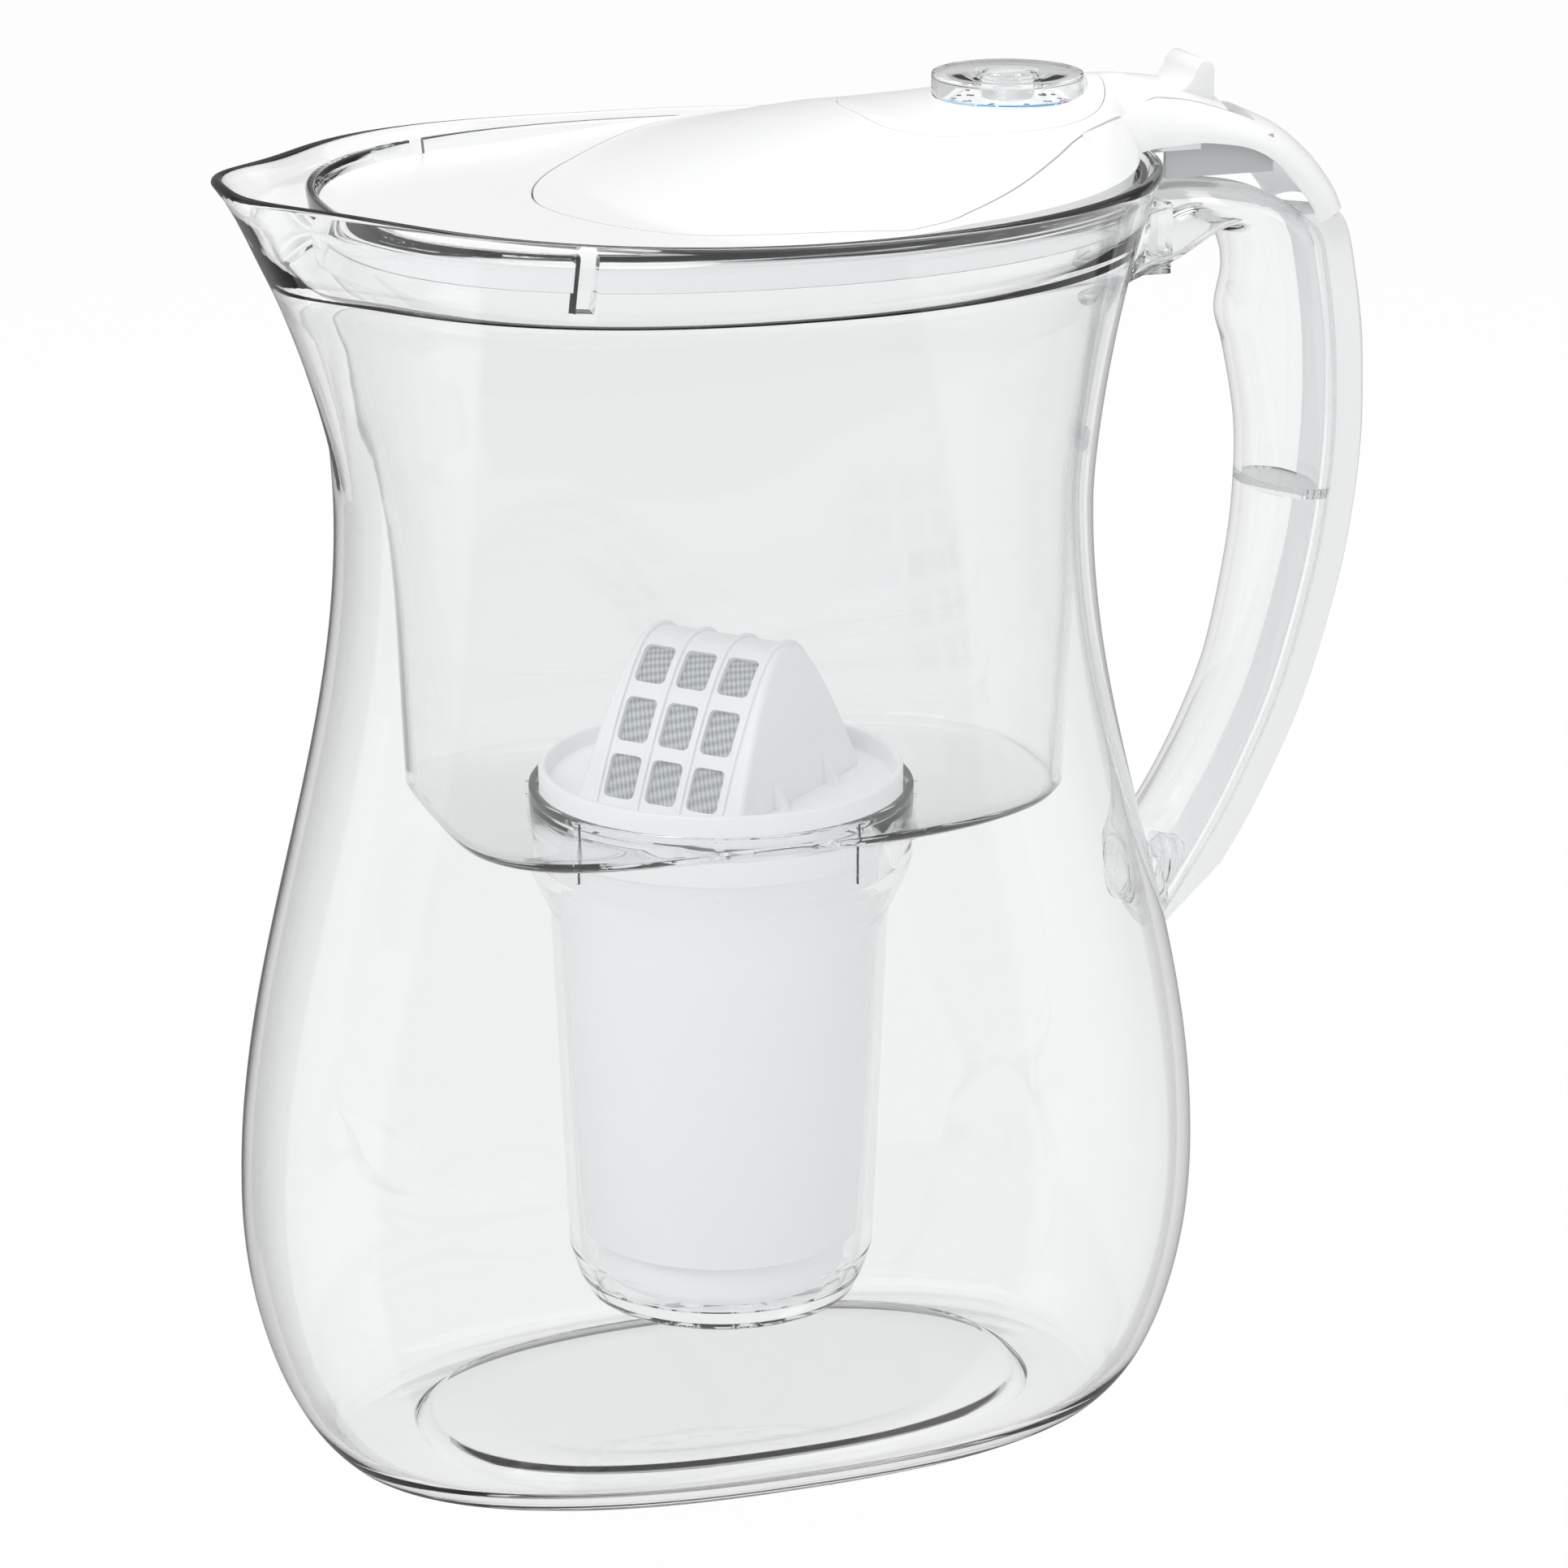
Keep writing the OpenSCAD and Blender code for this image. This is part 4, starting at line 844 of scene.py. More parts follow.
tray_outline = [
    (14, RING_FOOT_Z + 0.4), (24, RING_FOOT_Z), (RING_R - 0.3, RING_FOOT_Z), (RING_R, RING_FOOT_Z + 0.8),
    (RING_R, RING_Z - 0.4), (RING_R - 0.4, RING_Z), (RING_R - 1.1, RING_Z), (RING_R - 1.5, RING_Z - 0.4),
    (RING_R - 1.8, RING_FOOT_Z + 2.4), (26, RING_FOOT_Z + 1.6), (14, RING_FOOT_Z + 1.8)]
cap_outline = [
    (0, CAP_FOOT_Z), (CAP_R - 3.4, CAP_FOOT_Z), (CAP_R - 1.4, CAP_FOOT_Z + 0.7),
    (CAP_R - 0.3, CAP_FOOT_Z + 2.4), (CAP_R, BODY_FOOT_Z), (CAP_R - 1.4, BODY_FOOT_Z),
    (CAP_R - 1.8, CAP_FOOT_Z + 3), (CAP_R - 3.6, CAP_FOOT_Z + 1.5), (0, CAP_FOOT_Z + 1.5)]

cup = turned("filter_cup_clear", cup_outline)
cup_ribs = ring_of_bars("cup_ribs", 8, CUP_R - 0.1, (1.4, 1.2, 12.0), RIB_Z, FIRST_RIB, hopper_plastic)
carve(cup, "UNION", cup_ribs)
for hole_x, hole_y in round_outline(0, 0, OUTLET_RING_R, 8):
    outlet = round_outline(hole_x, hole_y, OUTLET_R, 32)
    carve(cup, "DIFFERENCE", column("outlet", outlet, CUP_FOOT_Z - 1, CUP_FOOT_Z + 3))
make_piece(cup, "hopper", hopper_plastic, ["filter_cup"], 50)
for part, outline in (("body", body_outline), ("tray", tray_outline), ("cap", cap_outline)):
    make_piece(turned("cartridge_white_" + part, outline), "cartridge", cartridge_white,
               ["cartridge_" + part], 30)

# %% [markdown]
# ## The dome of the cartridge
# The dome is a bridge over the tray: an arch pushed along its length, with sloped flat ends. Water
# comes in through windows with a fine woven screen behind them. The window cutters are grown by
# the slot tree, on points of the arch that carry the way the arch faces there.

# %% Sizes of the dome
DOME_TURN, DOME_HALF_W, DOME_HALF_L, DOME_H = math.radians(-49), 24.0, 18.0, 30.0
DOME_FOOT_Z = RING_FOOT_Z + 0.8
DOME_TAPER = 0.60  # share of the width that is gone at the top
WINDOW_PITCH, WINDOW_W = 9.0, 6.6
WINDOW_ROWS = [[5.5, 8.4], [23, 8.8], [51, 8.0], [129, 8.0], [157, 8.8], [174.5, 8.4]]


def arch_point(degrees, grow=0.0):
    a = math.radians(degrees)
    level = max(0.0, math.sin(a)) ** (2 / 3)
    narrowed = 1 - DOME_TAPER * level
    across = (DOME_HALF_W * narrowed + grow) * float(spow(math.cos(a), 2 / 3))
    return np.array([across, (DOME_H + grow) * level])


def arch_bar(name, grow, x0, x1, steps=96):
    line = [arch_point(180 * i / steps, grow) for i in range(steps + 1)]
    return prism(name, *([(x, y, DOME_FOOT_Z + z) for y, z in line] for x in (x0, x1)))


def dome_ends(name, grow):
    low, high = DOME_HALF_L + grow, DOME_HALF_L - 3.2 + grow
    side = [(-low, 0), (low, 0), (high, DOME_H + 3), (-high, DOME_H + 3)]
    return prism(name, *([(x, y, DOME_FOOT_Z + z) for x, z in side] for y in (-40, 40)))


# %% [markdown]
# The dome is softened first, then hollowed, then the windows are cut, so that the window edges
# stay crisp. Four ribs run over the arch between the columns of windows.

# %% Build the dome and its screen
def about_axis(piece, angle):
    """Turns the mesh of a piece about the filter axis."""
    points = np.empty(len(piece.data.vertices) * 3)
    piece.data.vertices.foreach_get("co", points)
    points = points.reshape(-1, 3)
    c, s = math.cos(angle), math.sin(angle)
    points[:, :2] = points[:, :2] @ np.array([[c, s], [-s, c]])
    piece.data.vertices.foreach_set("co", points.ravel())
    piece.data.update()
    return piece


def build_dome():
    dome = carve(arch_bar("cartridge_white_dome", 0, -30, 30), "INTERSECT", dome_ends("ends", 0))
    soften(dome, 1.1, 4, 45)
    hollow = carve(arch_bar("hollow", -1.5, -30, 30), "INTERSECT", dome_ends("inner_ends", -1.5))
    below = box_piece("below", (-40, -40, DOME_FOOT_Z - 8), (40, 40, DOME_FOOT_Z + 0.6))
    carve(dome, "DIFFERENCE", hollow, below)
    spots = []
    for degrees, length in WINDOW_ROWS:
        y, z = arch_point(degrees)
        step = arch_point(degrees + 1) - arch_point(degrees - 1)
        for c in (-1, 0, 1):
            spots.append(((c * WINDOW_PITCH, y, DOME_FOOT_Z + z), (0, -step[1], step[0]), length))
    windows = slots_on("windows", spots, WINDOW_W, 1.2, 8.0, cartridge_white)
    carve(dome, "DIFFERENCE", windows)
    for c in (-1.5, -0.5, 0.5, 1.5):
        rib = arch_bar("rib", 0.7, c * WINDOW_PITCH - 0.55, c * WINDOW_PITCH + 0.55)
        carve(rib, "DIFFERENCE", arch_bar("rib_inside", -0.4, -30, 30))
        soften(rib, 0.25, 2, 50)
        carve(dome, "UNION", rib)
    for sx in (-1, 1):
        for sy in (-1, 1):
            gusset = [(sx * (DOME_HALF_L - 2), 0), (sx * (DOME_HALF_L + 3), 0), (sx * (DOME_HALF_L - 2), 10)]
            ends = ([(x, sy * 9.5 + t, DOME_FOOT_Z + z) for x, z in gusset] for t in (-0.6, 0.6))
            carve(dome, "UNION", prism("gusset", *ends))
    return about_axis(dome, DOME_TURN)


def build_screen():
    screen = arch_bar("cartridge_screen", -1.1, -13.6, 13.6)
    carve(screen, "DIFFERENCE", arch_bar("screen_inside", -1.6, -20, 20))
    return about_axis(screen, DOME_TURN)


make_piece(build_dome(), "cartridge", cartridge_white, ["cartridge_dome"], 30)
make_piece(build_screen(), "cartridge", screen_grey, ["cartridge_mesh"], 30)

# %% [markdown]
# ## The rules of the lid
# The lid lies just under the rim and rises in a hill towards the handle. One height rule gives the
# whole top, so the base, the flap and the dial insert share one flowing surface, and only fine
# seams part them. Thin shells that follow the rule are cut by upright columns with the plan of
# each piece, as a cutter would part a moulding.

# %% Height of the lid
PLATE_Z = RIM_Z - 3.7
CREST_FRONT_Z, CREST_Z = RIM_Z + 9.9, RIM_Z + 14.1
COVER_HALF_W, NECK_HALF_W, SEAM, SEAT_GAP = 15.0, 9.5, 0.4, 0.45
SKIN_T, SKIRT_T, SKIRT_DROP = 2.0, 1.6, 0.6
HINGE_X, HINGE_Z, PIN_R, BARREL_R = 88.0, RIM_Z + 3.8, 1.5, 3.2


def lid_half_width(x, z):
    front, back, side = (girth(z, sizes) - LID_OFF for sizes in (FRONT, BACK, SIDE))
    n = FRONT_N if x < 0 else back_n(z)
    return side * max(0.0, 1 - min(1.0, abs(x) / (front if x < 0 else back)) ** n) ** (1 / n)


def plate_at(x):
    return mix(PLATE_Z, RIM_Z - 0.3, ease((x + 30) / 60))


def hill_width(x):
    if x < 10:
        return 61 * math.sqrt(max(0.0001, 1 - min(1, (10 - x) / 33) ** 2))
    return max(COVER_HALF_W + 3, min(61, lid_half_width(x, RIM_Z) + 1.5))


def crest_at(x):
    if x < -22.5:
        return 0.0
    return ((CREST_FRONT_Z - plate_at(30)) * ((min(x, 30) + 22.5) / 52.5) ** 0.95
            + (CREST_Z - CREST_FRONT_Z) * ease((x - 26) / 48) - 1.8 * ease((x - 78) / 14))


def lid_height(x, y):
    across = min(1.0, abs(y) / hill_width(x))
    return plate_at(x) + crest_at(x) * max(0.0, 1 - across ** 1.9) ** 1.15


# %% [markdown]
# A lid shell is one surface offset downwards, with its edge on the outline of the band. The cover
# over the handle is an arch swept along a curve.

# %% Shells of the lid
def lid_edge(steps, grow, drop):
    """Edge of the lid, a little below its surface, so that it follows the flare of the band."""
    x, y = jug_outline(RIM_Z, LID_OFF, False, steps)
    points = []
    for i in range(steps):
        at = jug_outline(plate_at(x[i]) - drop, LID_OFF + grow, False, steps)
        points.append((at[0][i], at[1][i]))
    return np.array(points)


LID_STEPS = 200
LID_SHARES = np.concatenate([[1, 0.992, 0.98], np.linspace(0.965, 0.03, 44)])


def lid_shell(name, top, bottom, grow=0.0):
    rings = []
    for drop, shares in ((bottom, LID_SHARES[::-1]), (top, LID_SHARES)):
        edge = lid_edge(LID_STEPS, grow, drop)
        for share in shares:
            x, y = 8 + (edge[:, 0] - 8) * share, edge[:, 1] * share
            z = [lid_height(a, b) - drop for a, b in zip(x, y)]
            rings.append(np.stack([x, y, z], 1))
    return as_object(name, *loft(rings))


COVER = [  # crown x and z, depth and half width of its sides, squareness
    [76, 261.8, 13.8, 15, 1], [84, 261.1, 11.5, 15, 1], [91, 259.8, 10.2, 15, 1],
    [98, 257, 7.9, 15, 0.95], [104.7, 254, 6.4, 14.8, 0.9], [111.5, 250.7, 7, 14.4, 0.85],
    [117.7, 245.4, 7.5, 14, 0.8], [122.3, 239.3, 7.3, 13.5, 0.75], [124.3, 235, 7.4, 13.1, 0.7]]


FLARE = [[62, 260.6, 12.4, 31, 1], [69, 261.5, 12.7, 23, 1], [76, 261.8, 12.9, 17.5, 1]]


def cover_solid(name, stations, wall=SKIN_T):
    path = curve_through(stations, 6)
    lead = np.gradient(path[:, :2], axis=0)
    lead[-1] = (0.12, -0.993)
    turn = np.linspace(0, np.pi, 49)
    rings = []
    for (x, z, deep, half, square), (dx, dz) in zip(path, lead / np.linalg.norm(lead, axis=1)[:, None]):
        ring = []
        for angles, width, skin in ((turn, half, 0), (turn[::-1], half - wall, wall)):
            below = deep - (deep - skin) * np.maximum(0, np.sin(angles)) ** square
            ring.append(np.stack([x + dz * below, width * spow(np.cos(angles), square), z - dx * below], 1))
        rings.append(np.vstack(ring))
    points = np.concatenate(rings)
    n = len(rings[0])
    faces = [[j * n + i, (j + 1) * n + i, (j + 1) * n + (i + 1) % n, j * n + (i + 1) % n]
             for j in range(len(rings) - 1) for i in range(n)]
    last = (len(rings) - 1) * n
    for k in range(n // 2 - 1):
        faces.append([k, k + 1, n - 2 - k, n - 1 - k])
        faces.append([last + n - 1 - k, last + n - 2 - k, last + k + 1, last + k])
    return as_object(name, points, faces)


# %% [markdown]
# These outlines are seen from above. The flap has an oval nose, an S curve down each side and a
# narrow neck that runs under the cover to the hinge.

# %% Plans of the flap and of the dial insert
S_CURVE = [[26, 56.3], [34.7, 50.2], [43.9, 42.8], [54, 33.3], [59.6, 27.6], [64.9, 22.8], [69.8, 18.8],
           [74.9, 14.4], [80, 10.9], [84, 9.5]]


def flap_plan(inset):
    """Half outline of the flap, mirrored: oval nose, S curve, neck."""
    angle = np.radians(np.arange(0, 85, 2))
    nose = []
    for a in angle:
        x, y = 28 - 62 * math.cos(a) ** (2 / 1.7), 61 * math.sin(a) ** (2 / 1.7)
        limit = lid_half_width(x, plate_at(x) - SKIN_T) - SKIRT_T - SEAT_GAP
        nose.append((x + inset * math.cos(a), min(y, limit) - inset * math.sin(a)))
    bend = curve_through(S_CURVE, 5)
    half = nose + [(x - inset * 0.6, y - inset * 0.8) for x, y in bend[:-5]]
    half += [(84, NECK_HALF_W - inset), (98.9 - inset, NECK_HALF_W - inset)]
    return half + [(x, -y) for x, y in half[:0:-1]]


def island_plan(grow):
    angle = np.arange(128) * 2 * np.pi / 128
    c, s = np.cos(angle), np.sin(angle)
    n = np.where(c < 0, 3.4, 2)
    return np.stack([51 + (np.where(c < 0, 23.3, 24.6) + grow) * spow(c, 2 / n),
                     (23.8 + grow) * spow(s, 2 / n)], 1)


def drum(name, x, z0, z1, radius):
    return column(name, round_outline(x, 0, radius, 128), z0, z1)


def cross_bar(name, radius, half):
    outline = round_outline(HINGE_X, HINGE_Z, radius, 64)
    return prism(name, *([(x, y, z) for x, z in outline] for y in (-half, half)))


# %% [markdown]
# ## The white lid, its flap and the dial insert
# The base is the shell and the cover over the handle, less the column of the flap, with a skirt
# round its edge. The flap is the same shell inside that column, less the insert. Because all three
# come from one surface, the seams between them are even and the top flows on across them.

# %% Build the lid base
DIAL_X, DIAL_R, DIAL_H, SEAT_Z = 57.8, 14.3, 4.4, RIM_Z + 10.7
POCKET_HALF_W = NECK_HALF_W + SEAM


def skirt():
    rings = []
    for grow, order in ((0.0, (0, 1)), (SKIRT_T, (1, 0))):
        top = lid_edge(LID_STEPS, grow, SKIRT_DROP)
        x, y = jug_outline(STEP_Z + SEAT_PLAY, LID_OFF + grow, False, LID_STEPS)
        low = np.stack([x, y, np.full(LID_STEPS, STEP_Z + SEAT_PLAY)], 1)
        high = np.stack([top[:, 0], top[:, 1], [lid_height(a, b) - SKIRT_DROP for a, b in top]], 1)
        rings += [(low, high)[k] for k in order]
    return as_object("skirt", *loft(rings, closed=True))


def build_lid():
    lid = lid_shell("lid_white_base", 0, SKIN_T)
    carve(lid, "UNION", cover_solid("cover", FLARE + COVER[1:]))
    carve(lid, "DIFFERENCE", column("flap_hole", flap_plan(-SEAM)))
    seat = lid_shell("seat", SKIN_T + SEAT_GAP, SKIN_T + SEAT_GAP + 1.5, 0.2)
    angle = np.arange(96) * 2 * np.pi / 96
    opening = np.stack([29 + 50 * np.cos(angle), 44 * np.sin(angle)], 1)
    carve(seat, "DIFFERENCE", column("seat_hole", opening),
          box_piece("seat_end", (70, -30, 200), (110, 30, 300)))
    carve(lid, "UNION", skirt(), seat)
    for side in (-1, 1):
        low, high = sorted((side * POCKET_HALF_W, side * (POCKET_HALF_W + 3)))
        carve(lid, "UNION", box_piece("cheek", (HINGE_X - 4, low, HINGE_Z - 2.9),
                                      (HINGE_X + 4, high, HINGE_Z + 2.1)))
    pocket = box_piece("pocket", (HINGE_X - 9, -POCKET_HALF_W, 230), (104.4, POCKET_HALF_W, 270))
    return carve(lid, "DIFFERENCE", pocket, cross_bar("pin_hole", PIN_R, 13))


make_piece(build_lid(), "lid", lid_white, ["lid_base"], 32)


# %% [markdown]
# The flap takes the crown of the cover along its neck and turns on the pin. Under the insert a
# cup carries the dial.

# %% Build the flap
def build_flap():
    flap = lid_shell("flap_white_shell", 0, SKIN_T)
    cover = cover_solid("cover", COVER)
    carve(cover, "DIFFERENCE", lid_shell("under", SKIN_T, 16, -1))
    carve(flap, "UNION", cover)
    carve(flap, "INTERSECT", column("flap_column", flap_plan(0)))
    carve(flap, "DIFFERENCE", column("island_hole", island_plan(0.15)))
    carve(flap, "UNION", cross_bar("barrel", BARREL_R, NECK_HALF_W - 0.2),
          box_piece("post", (HINGE_X - 2, -NECK_HALF_W + 0.2, HINGE_Z),
                    (HINGE_X + 2, NECK_HALF_W - 0.2, CREST_Z - 4.4)))
    return carve(flap, "DIFFERENCE", cross_bar("bore", PIN_R + 0.05, 14))


def build_insert():
    insert = lid_shell("dial_white_insert", 0, SKIN_T)
    carve(insert, "INTERSECT", column("island_column", island_plan(0)))
    cup = lid_shell("dial_cup", 0, 6.2)
    carve(cup, "INTERSECT", drum("cup_column", DIAL_X, 240, 280, DIAL_R + 2.2))
    carve(insert, "UNION", cup)
    return carve(insert, "DIFFERENCE", drum("recess", DIAL_X, SEAT_Z, 280, DIAL_R + 0.8))


make_piece(build_flap(), "flap", lid_white, ["flip_lid"], 32)
make_piece(build_insert(), "flap", lid_white, ["indicator_tray"], 32)


# %% [markdown]
# ## The thumb tab
# A small wedge with a hollowed ramp, pressed back to raise the flap. Its side view is drawn once
# and pushed across the width, then all its edges are rounded.

# %% Build the thumb tab
TAB_HALF_W, TAB_UP = 7.3, 16.6


def build_tab():
    side = [(0.4, TAB_UP - 7.8)]
    side += [(0.4 + 4.8 * math.sin(a), TAB_UP - 5.6 + 5.4 * (1 - math.cos(a)))
             for a in np.radians(np.arange(0, 76, 5))]
    side += [(7 + 2 * math.cos(a), TAB_UP - 2 + 2 * math.sin(a)) for a in np.radians(np.arange(110, -1, -11))]
    side += [(9, TAB_UP - 7.8)]
    ends = ([(HINGE_X + x, y, RIM_Z + z) for x, z in side] for y in (-TAB_HALF_W, TAB_HALF_W))
    return soften(prism("thumb_tab_white", *ends), 0.5, 3, 50)


make_piece(build_tab(), "flap", lid_white, ["thumb_tab"], 35)

# %% [markdown]
# ## The month dial
# Under a clear turning cap lies a white disc with a colour ring: blue for a fresh filter, turning
# to pink when it is due. Ticks and plain numbers mark the months. The cap has a hub with a coin
# slot, and all its edges are rounded, so that it shows as thin bright and dark lines.

# %% Build the dial
NUMBER_R = 7.9  # the numbers stand this far from the middle of the disc


def shifted(piece, x):
    piece.data.transform(Matrix.Translation((x, 0, 0)))
    return piece


VIEW_TURN = math.radians(-19.3)  # the dial is read from the front left of the pitcher
RING_COLOURS = [  # from, to, and which of the five prints
    (-180, -120, 2), (-120, -117, 0), (-117, -101, 1), (-101, -99, 0), (-99, -50, 1), (-50, -48, 0),
    (-48, -42, 1), (-42, -39, 0), (-39, -22, 3), (-22, -18, 0), (-18, 12, 4), (12, 180, 0)]


def build_scale():
    points, faces, kinds = [], [], []
    top, low = SEAT_Z + 0.65, SEAT_Z + 0.5
    steps = 180
    for i in range(steps):
        a = 2 * math.pi * i / steps + VIEW_TURN
        for depth, z in ((3.4, low), (1.4, low), (1.4, top), (3.4, top)):
            radius = DIAL_R - depth
            points.append((DIAL_X + radius * math.cos(a), radius * math.sin(a), z))
    for i in range(steps):
        a, b = 4 * i, 4 * ((i + 1) % steps)
        middle = (360 * (i + 0.5) / steps + 180) % 360 - 180
        kind = next(k for start, stop, k in RING_COLOURS if start <= middle < stop)
        for k in range(4):
            faces.append([a + k, a + (k + 1) % 4, b + (k + 1) % 4, b + k])
            kinds.append(kind)
    scale = as_object("dial_colour_ring", points, faces)
    scale.data.polygons.foreach_set("material_index", kinds)
    return scale


make_piece(build_scale(), "flap", [print_white, print_cyan, print_sky, print_magenta, print_grey],
           ["dial_scale"], 40)

cap_line = [(0, 3.2), (2.05, 3.2), (2.05, 0.4), (5, 0.4), (5, 3.4), (DIAL_R - 0.9, 3.4), (DIAL_R - 0.9, 0),
            (DIAL_R, 0), (DIAL_R, DIAL_H), (0, DIAL_H)]
dial_cap = turned("dial_clear_cap", [(r, z + SEAT_Z + 0.35) for r, z in cap_line], 160, 0.45)
shifted(dial_cap, DIAL_X)
carve(dial_cap, "DIFFERENCE", box_piece("coin_slot", (DIAL_X - 3.4, -0.8, SEAT_Z + DIAL_H - 0.15),
                                        (DIAL_X + 3.4, 0.8, SEAT_Z + DIAL_H + 2)))
make_piece(dial_cap, "dial", dial_plastic, ["dial_cover"], 40)

ticks = ring_of_bars("dial_ticks", 24, 10.2, (0.9, 0.22, 0.08), SEAT_Z + 0.53, VIEW_TURN, print_dark)
make_piece(shifted(ticks, DIAL_X), "flap", print_dark, smooth=0)


def build_numbers():
    points, faces = [], []
    for i in range(6):
        a = VIEW_TURN - math.pi / 2 + (i - 2.5) * math.radians(48)
        line = bpy.data.curves.new("number", "FONT")
        line.body, line.size, line.align_x, line.align_y = str(i + 1), 2.3, "CENTER", "CENTER"
        line.extrude, line.resolution_u = 0.04, 4
        holder = bpy.data.objects.new("number", line)
        bpy.context.scene.collection.objects.link(holder)
        graph = bpy.context.evaluated_depsgraph_get()
        mesh = bpy.data.meshes.new_from_object(holder.evaluated_get(graph))
        c, s = math.cos(a + math.pi / 2), math.sin(a + math.pi / 2)
        start = len(points)
        for v in mesh.vertices:
            x, y = v.co.x * c - v.co.y * s, v.co.x * s + v.co.y * c
            points.append((DIAL_X + NUMBER_R * math.cos(a) + x, NUMBER_R * math.sin(a) + y,
                           SEAT_Z + 0.54 + v.co.z))
        faces += [[start + k for k in face.vertices] for face in mesh.polygons]
        bpy.data.objects.remove(holder)
    mesh = mesh_from("dial_numbers", points, faces)
    numbers = bpy.data.objects.new("dial_numbers", mesh)
    bpy.context.scene.collection.objects.link(numbers)
    return numbers


make_piece(build_numbers(), "flap", print_dark, smooth=0)

# %% [markdown]
# ## Inside of the cover over the handle
# Under the cover stand two rails with upright ribs, which lock the lid over the neck of the
# handle. They lie in the shade of the cover and close the view through it; they are white plastic, coloured
# grey here as painted shade.

# %% Build the rails
RAIL_IN, RAIL_OUT, RAIL_FOOT_Z = 11.4, 12.8, 243.4


def build_rails():
    rails = None
    for side in (-1, 1):
        low, high = sorted((side * RAIL_IN, side * RAIL_OUT))
        rail = box_piece("neck_rails", (85, low, RAIL_FOOT_Z), (107, high, 250.5))
        rib_low, rib_high = min(low, high + 0.7 * side), max(high, low + 0.7 * side)
        ribs = [box_piece("rib", (x, rib_low, RAIL_FOOT_Z), (x + 0.9, rib_high, 250))
                for x in (87, 91.5, 96, 100.5, 105)]
        carve(rail, "UNION", *ribs)
        if rails is None:
            rails = rail
        else:
            carve(rails, "UNION", rail)
    return rails


# The rails take the grey of painted shade, though they are white plastic.
make_piece(build_rails(), "lid", painted_shade_grey, smooth=30)

# %% [markdown]
# ## Materials for the CAD parts that stay
# The small parts whose CAD shape is right keep it and only get a better finish.

# %% Dress the CAD parts
for node, material in {
        "handle_web": jug_plastic, "neck_bracket": jug_plastic, "foot_socket": jug_plastic,
        "filter_media": granules,
        "outlet_screen": screen_grey, "hinge_pin": pin_white, "dial_disc": print_white,
        "dial_spindle": pin_white}.items():
    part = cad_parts[node]
    part.data.materials.clear()
    part.data.materials.append(material)

# %% [markdown]
# ## Stage, light and camera
# The photograph is a high-key studio picture: white all round, soft light from above and from the
# left. The floor and the world show plain white to the camera and through the clear walls, and
# light the object at a plain level. Clear edges need something darker to show, so the world is
# greyer low down at the sides than overhead, as in a studio with a lit sweep.

# %% Floor
def floor_white():
    f = Finish("floor_white")
    light = f.tree.nodes.new("ShaderNodeLightPath")
    seen = Wire(f, light.outputs["Is Camera Ray"]) + Wire(f, light.outputs["Is Transmission Ray"])
    plain = f.node("ShaderNodeBsdfDiffuse", {}, {"Color": (0.86, 0.865, 0.87, 1)})
    glow = f.node("ShaderNodeEmission", {}, {"Color": (1, 1, 1, 1), "Strength": 1.0})
    shown = f.node("ShaderNodeMixShader", {}, {0: seen * 0.93, 1: plain, 2: glow})
    open_air = f.node("ShaderNodeBsdfTransparent", {}, {"Color": (1, 1, 1, 1)})
    mirrored = Wire(f, light.outputs["Is Glossy Ray"]) > Wire(f, light.outputs["Is Transmission Ray"])
    return f.surface(f.node("ShaderNodeMixShader", {}, {0: mirrored, 1: shown, 2: open_air}))


FLOOR_HALF = 9
corners = [(x * FLOOR_HALF, y * FLOOR_HALF, 0) for x, y in ((-1, -1), (1, -1), (1, 1), (-1, 1))]
floor = bpy.data.objects.new("floor", mesh_from("floor", corners, [(0, 1, 2, 3)]))
bpy.context.scene.collection.objects.link(floor)
floor.location.z = -0.0002
floor.data.materials.append(floor_white())


# %% [markdown]
# The world is soft light for matt surfaces, plain white for the camera, and for mirrored rays two
# tall bright boxes on grey, which draw the upright bright bands on the jug.

# %% World
def ramp_between(tree, source, stops):
    ramp = tree.nodes.new("ShaderNodeValToRGB")
    while len(ramp.color_ramp.elements) < len(stops):
        ramp.color_ramp.elements.new(0.5)
    for element, (position, level) in zip(ramp.color_ramp.elements, stops):
        element.position = position
        element.color = (level, level, level, 1)
    tree.links.new(source, ramp.inputs["Fac"])
    return ramp.outputs["Color"]


def world_math(tree, operation, first, second):
    node = tree.nodes.new("ShaderNodeMath")
    node.operation = operation
    for slot, value in enumerate((first, second)):
        if isinstance(value, (int, float)):
            node.inputs[slot].default_value = value
        elif value is not None:
            tree.links.new(value, node.inputs[slot])
    return node.outputs[0]


def background(tree, colour, strength):
    node = tree.nodes.new("ShaderNodeBackground")
    node.inputs["Strength"].default_value = strength
    if colour is not None:
        tree.links.new(colour, node.inputs["Color"])
    return node.outputs[0]


def mixed_by(tree, factor, first, second):
    node = tree.nodes.new("ShaderNodeMixShader")
    tree.links.new(factor, node.inputs[0])
    tree.links.new(first, node.inputs[1])
    tree.links.new(second, node.inputs[2])
    return node.outputs[0]


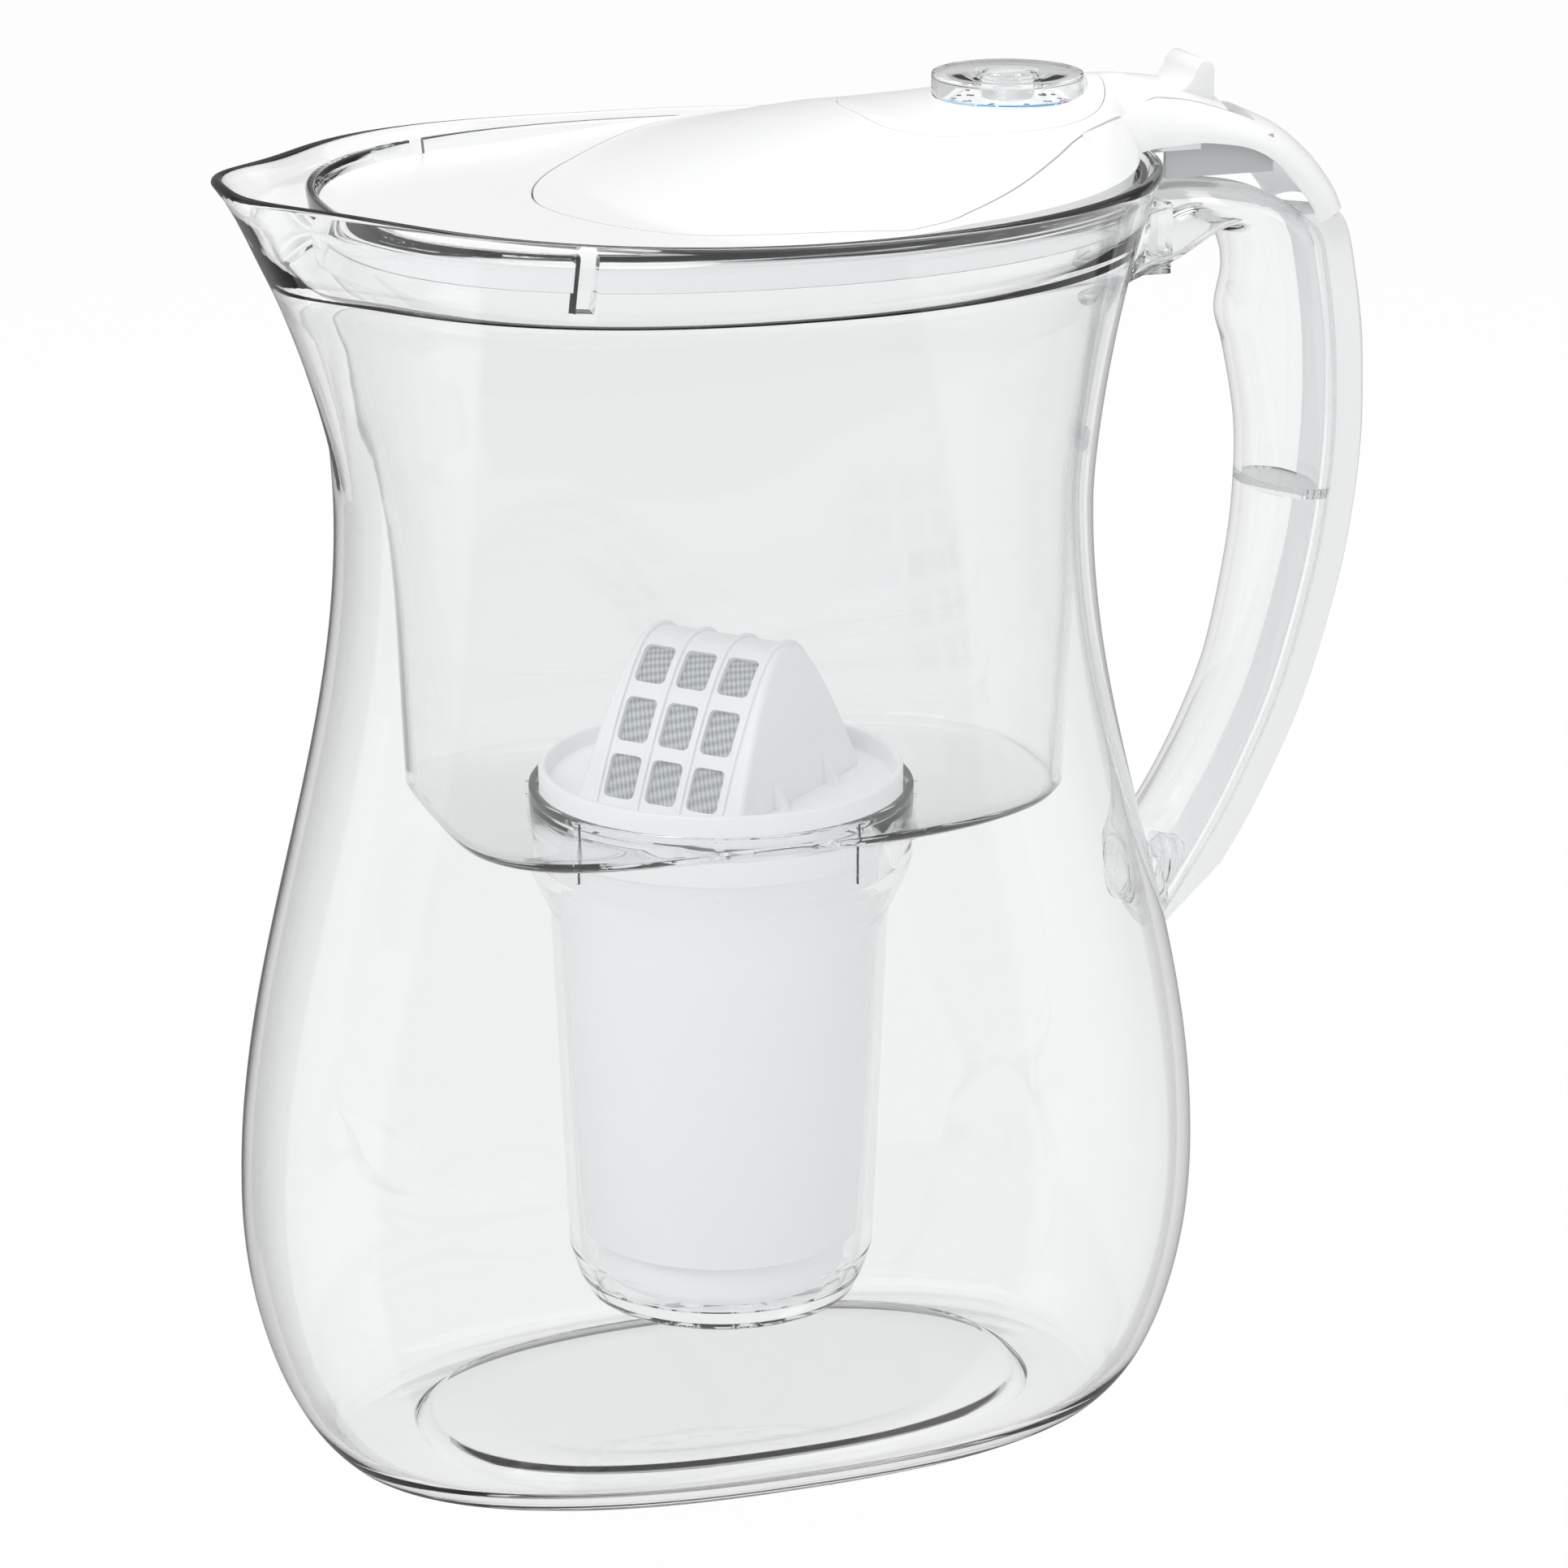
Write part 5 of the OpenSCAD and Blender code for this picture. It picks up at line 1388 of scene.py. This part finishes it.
def studio_world():
    world = bpy.data.worlds.new("studio")
    bpy.context.scene.world = world
    world.use_nodes = True
    tree = world.node_tree
    tree.nodes.clear()
    where = tree.nodes.new("ShaderNodeTexCoord").outputs["Generated"]
    split = tree.nodes.new("ShaderNodeSeparateXYZ")
    tree.links.new(where, split.inputs[0])
    x, y, z = split.outputs
    # soft light: bright overhead, a little less towards the horizon
    level = ramp_between(tree, z, ((0.0, 0.74), (0.3, 0.86), (1.0, 1.0)))
    soft = background(tree, level, 0.80)
    # mirrored light: two tall soft boxes at the ends of one line across the studio
    along = world_math(tree, "ABSOLUTE", world_math(tree, "ADD", world_math(tree, "MULTIPLY", x, 0.978),
                                                    world_math(tree, "MULTIPLY", y, -0.208)), None)
    level_share = world_math(tree, "SUBTRACT", 1.0001, world_math(tree, "MULTIPLY", z, z))
    flat = world_math(tree, "SQRT", level_share, None)
    boxes = ramp_between(tree, world_math(tree, "DIVIDE", along, flat),
                         ((0.0, 0.26), (0.86, 0.30), (0.885, 1.0), (1.0, 1.0)))
    above = ramp_between(tree, z, ((0.0, 0.0), (0.25, 0.0), (0.6, 0.85)))
    lit = tree.nodes.new("ShaderNodeMix")
    lit.data_type = "RGBA"
    lit.blend_type = "LIGHTEN"
    lit.inputs[0].default_value = 1.0
    tree.links.new(boxes, lit.inputs[6])
    tree.links.new(above, lit.inputs[7])
    mirrored = background(tree, lit.outputs[2], 1.0)
    white = background(tree, None, 1.0)
    white.node.inputs["Color"].default_value = (1, 1, 1, 1)
    light = tree.nodes.new("ShaderNodeLightPath")
    out = tree.nodes.new("ShaderNodeOutputWorld")
    reflected = world_math(tree, "GREATER_THAN", light.outputs["Is Glossy Ray"],
                           light.outputs["Is Transmission Ray"])
    shown = mixed_by(tree, reflected, soft, mirrored)
    shown = mixed_by(tree, light.outputs["Is Camera Ray"], shown, white)
    tree.links.new(shown, out.inputs["Surface"])


studio_world()


# %% [markdown]
# Three soft lamps model the white lid and the cartridge: a key from the front left, a broad one
# overhead and a weak card on the right.

# %% Lamps
def soft_lamp(name, place, aim, size, power):
    lamp = bpy.data.lights.new(name, "AREA")
    lamp.shape = "RECTANGLE"
    lamp.size, lamp.size_y = size
    lamp.energy = power
    obj = bpy.data.objects.new(name, lamp)
    bpy.context.scene.collection.objects.link(obj)
    obj.location = place
    lead = np.array(aim) - np.array(place)
    obj.rotation_mode = "QUATERNION"
    obj.rotation_quaternion = Vector(lead).to_track_quat("-Z", "Y")
    return obj


soft_lamp("key_softbox", (-0.9, -0.7, 1.25), (0, 0, 0.14), (0.9, 0.9), 7.5)
soft_lamp("top_softbox", (0.25, 0.35, 1.4), (0, 0, 0.14), (1.2, 0.9), 6.0)
soft_lamp("right_card", (1.1, -0.6, 0.6), (0, 0, 0.14), (0.7, 0.9), 1.2)


# %% [markdown]
# A long lens from the front left, a little above the rim, as fitted to the photograph.

# %% Camera
def studio_camera(place, aim, lens):
    camera = bpy.data.objects.new("camera", bpy.data.cameras.new("camera"))
    bpy.context.scene.collection.objects.link(camera)
    camera.data.sensor_width = 36
    camera.data.lens = lens
    camera.data.clip_start, camera.data.clip_end = 0.01, 50
    camera.location = place
    camera.rotation_mode = "QUATERNION"
    camera.rotation_quaternion = (Vector(aim) - Vector(place)).to_track_quat("-Z", "Y")
    bpy.context.scene.camera = camera


studio_camera((-0.32524, -0.91208, 0.43700), (-0.00523, 0.0, 0.12754), 120.92)
scene = bpy.context.scene
scene.view_settings.view_transform = "Standard"
scene.cycles.max_bounces = 28
scene.cycles.transmission_bounces = 28
scene.cycles.glossy_bounces = 10
scene.cycles.transparent_max_bounces = 40
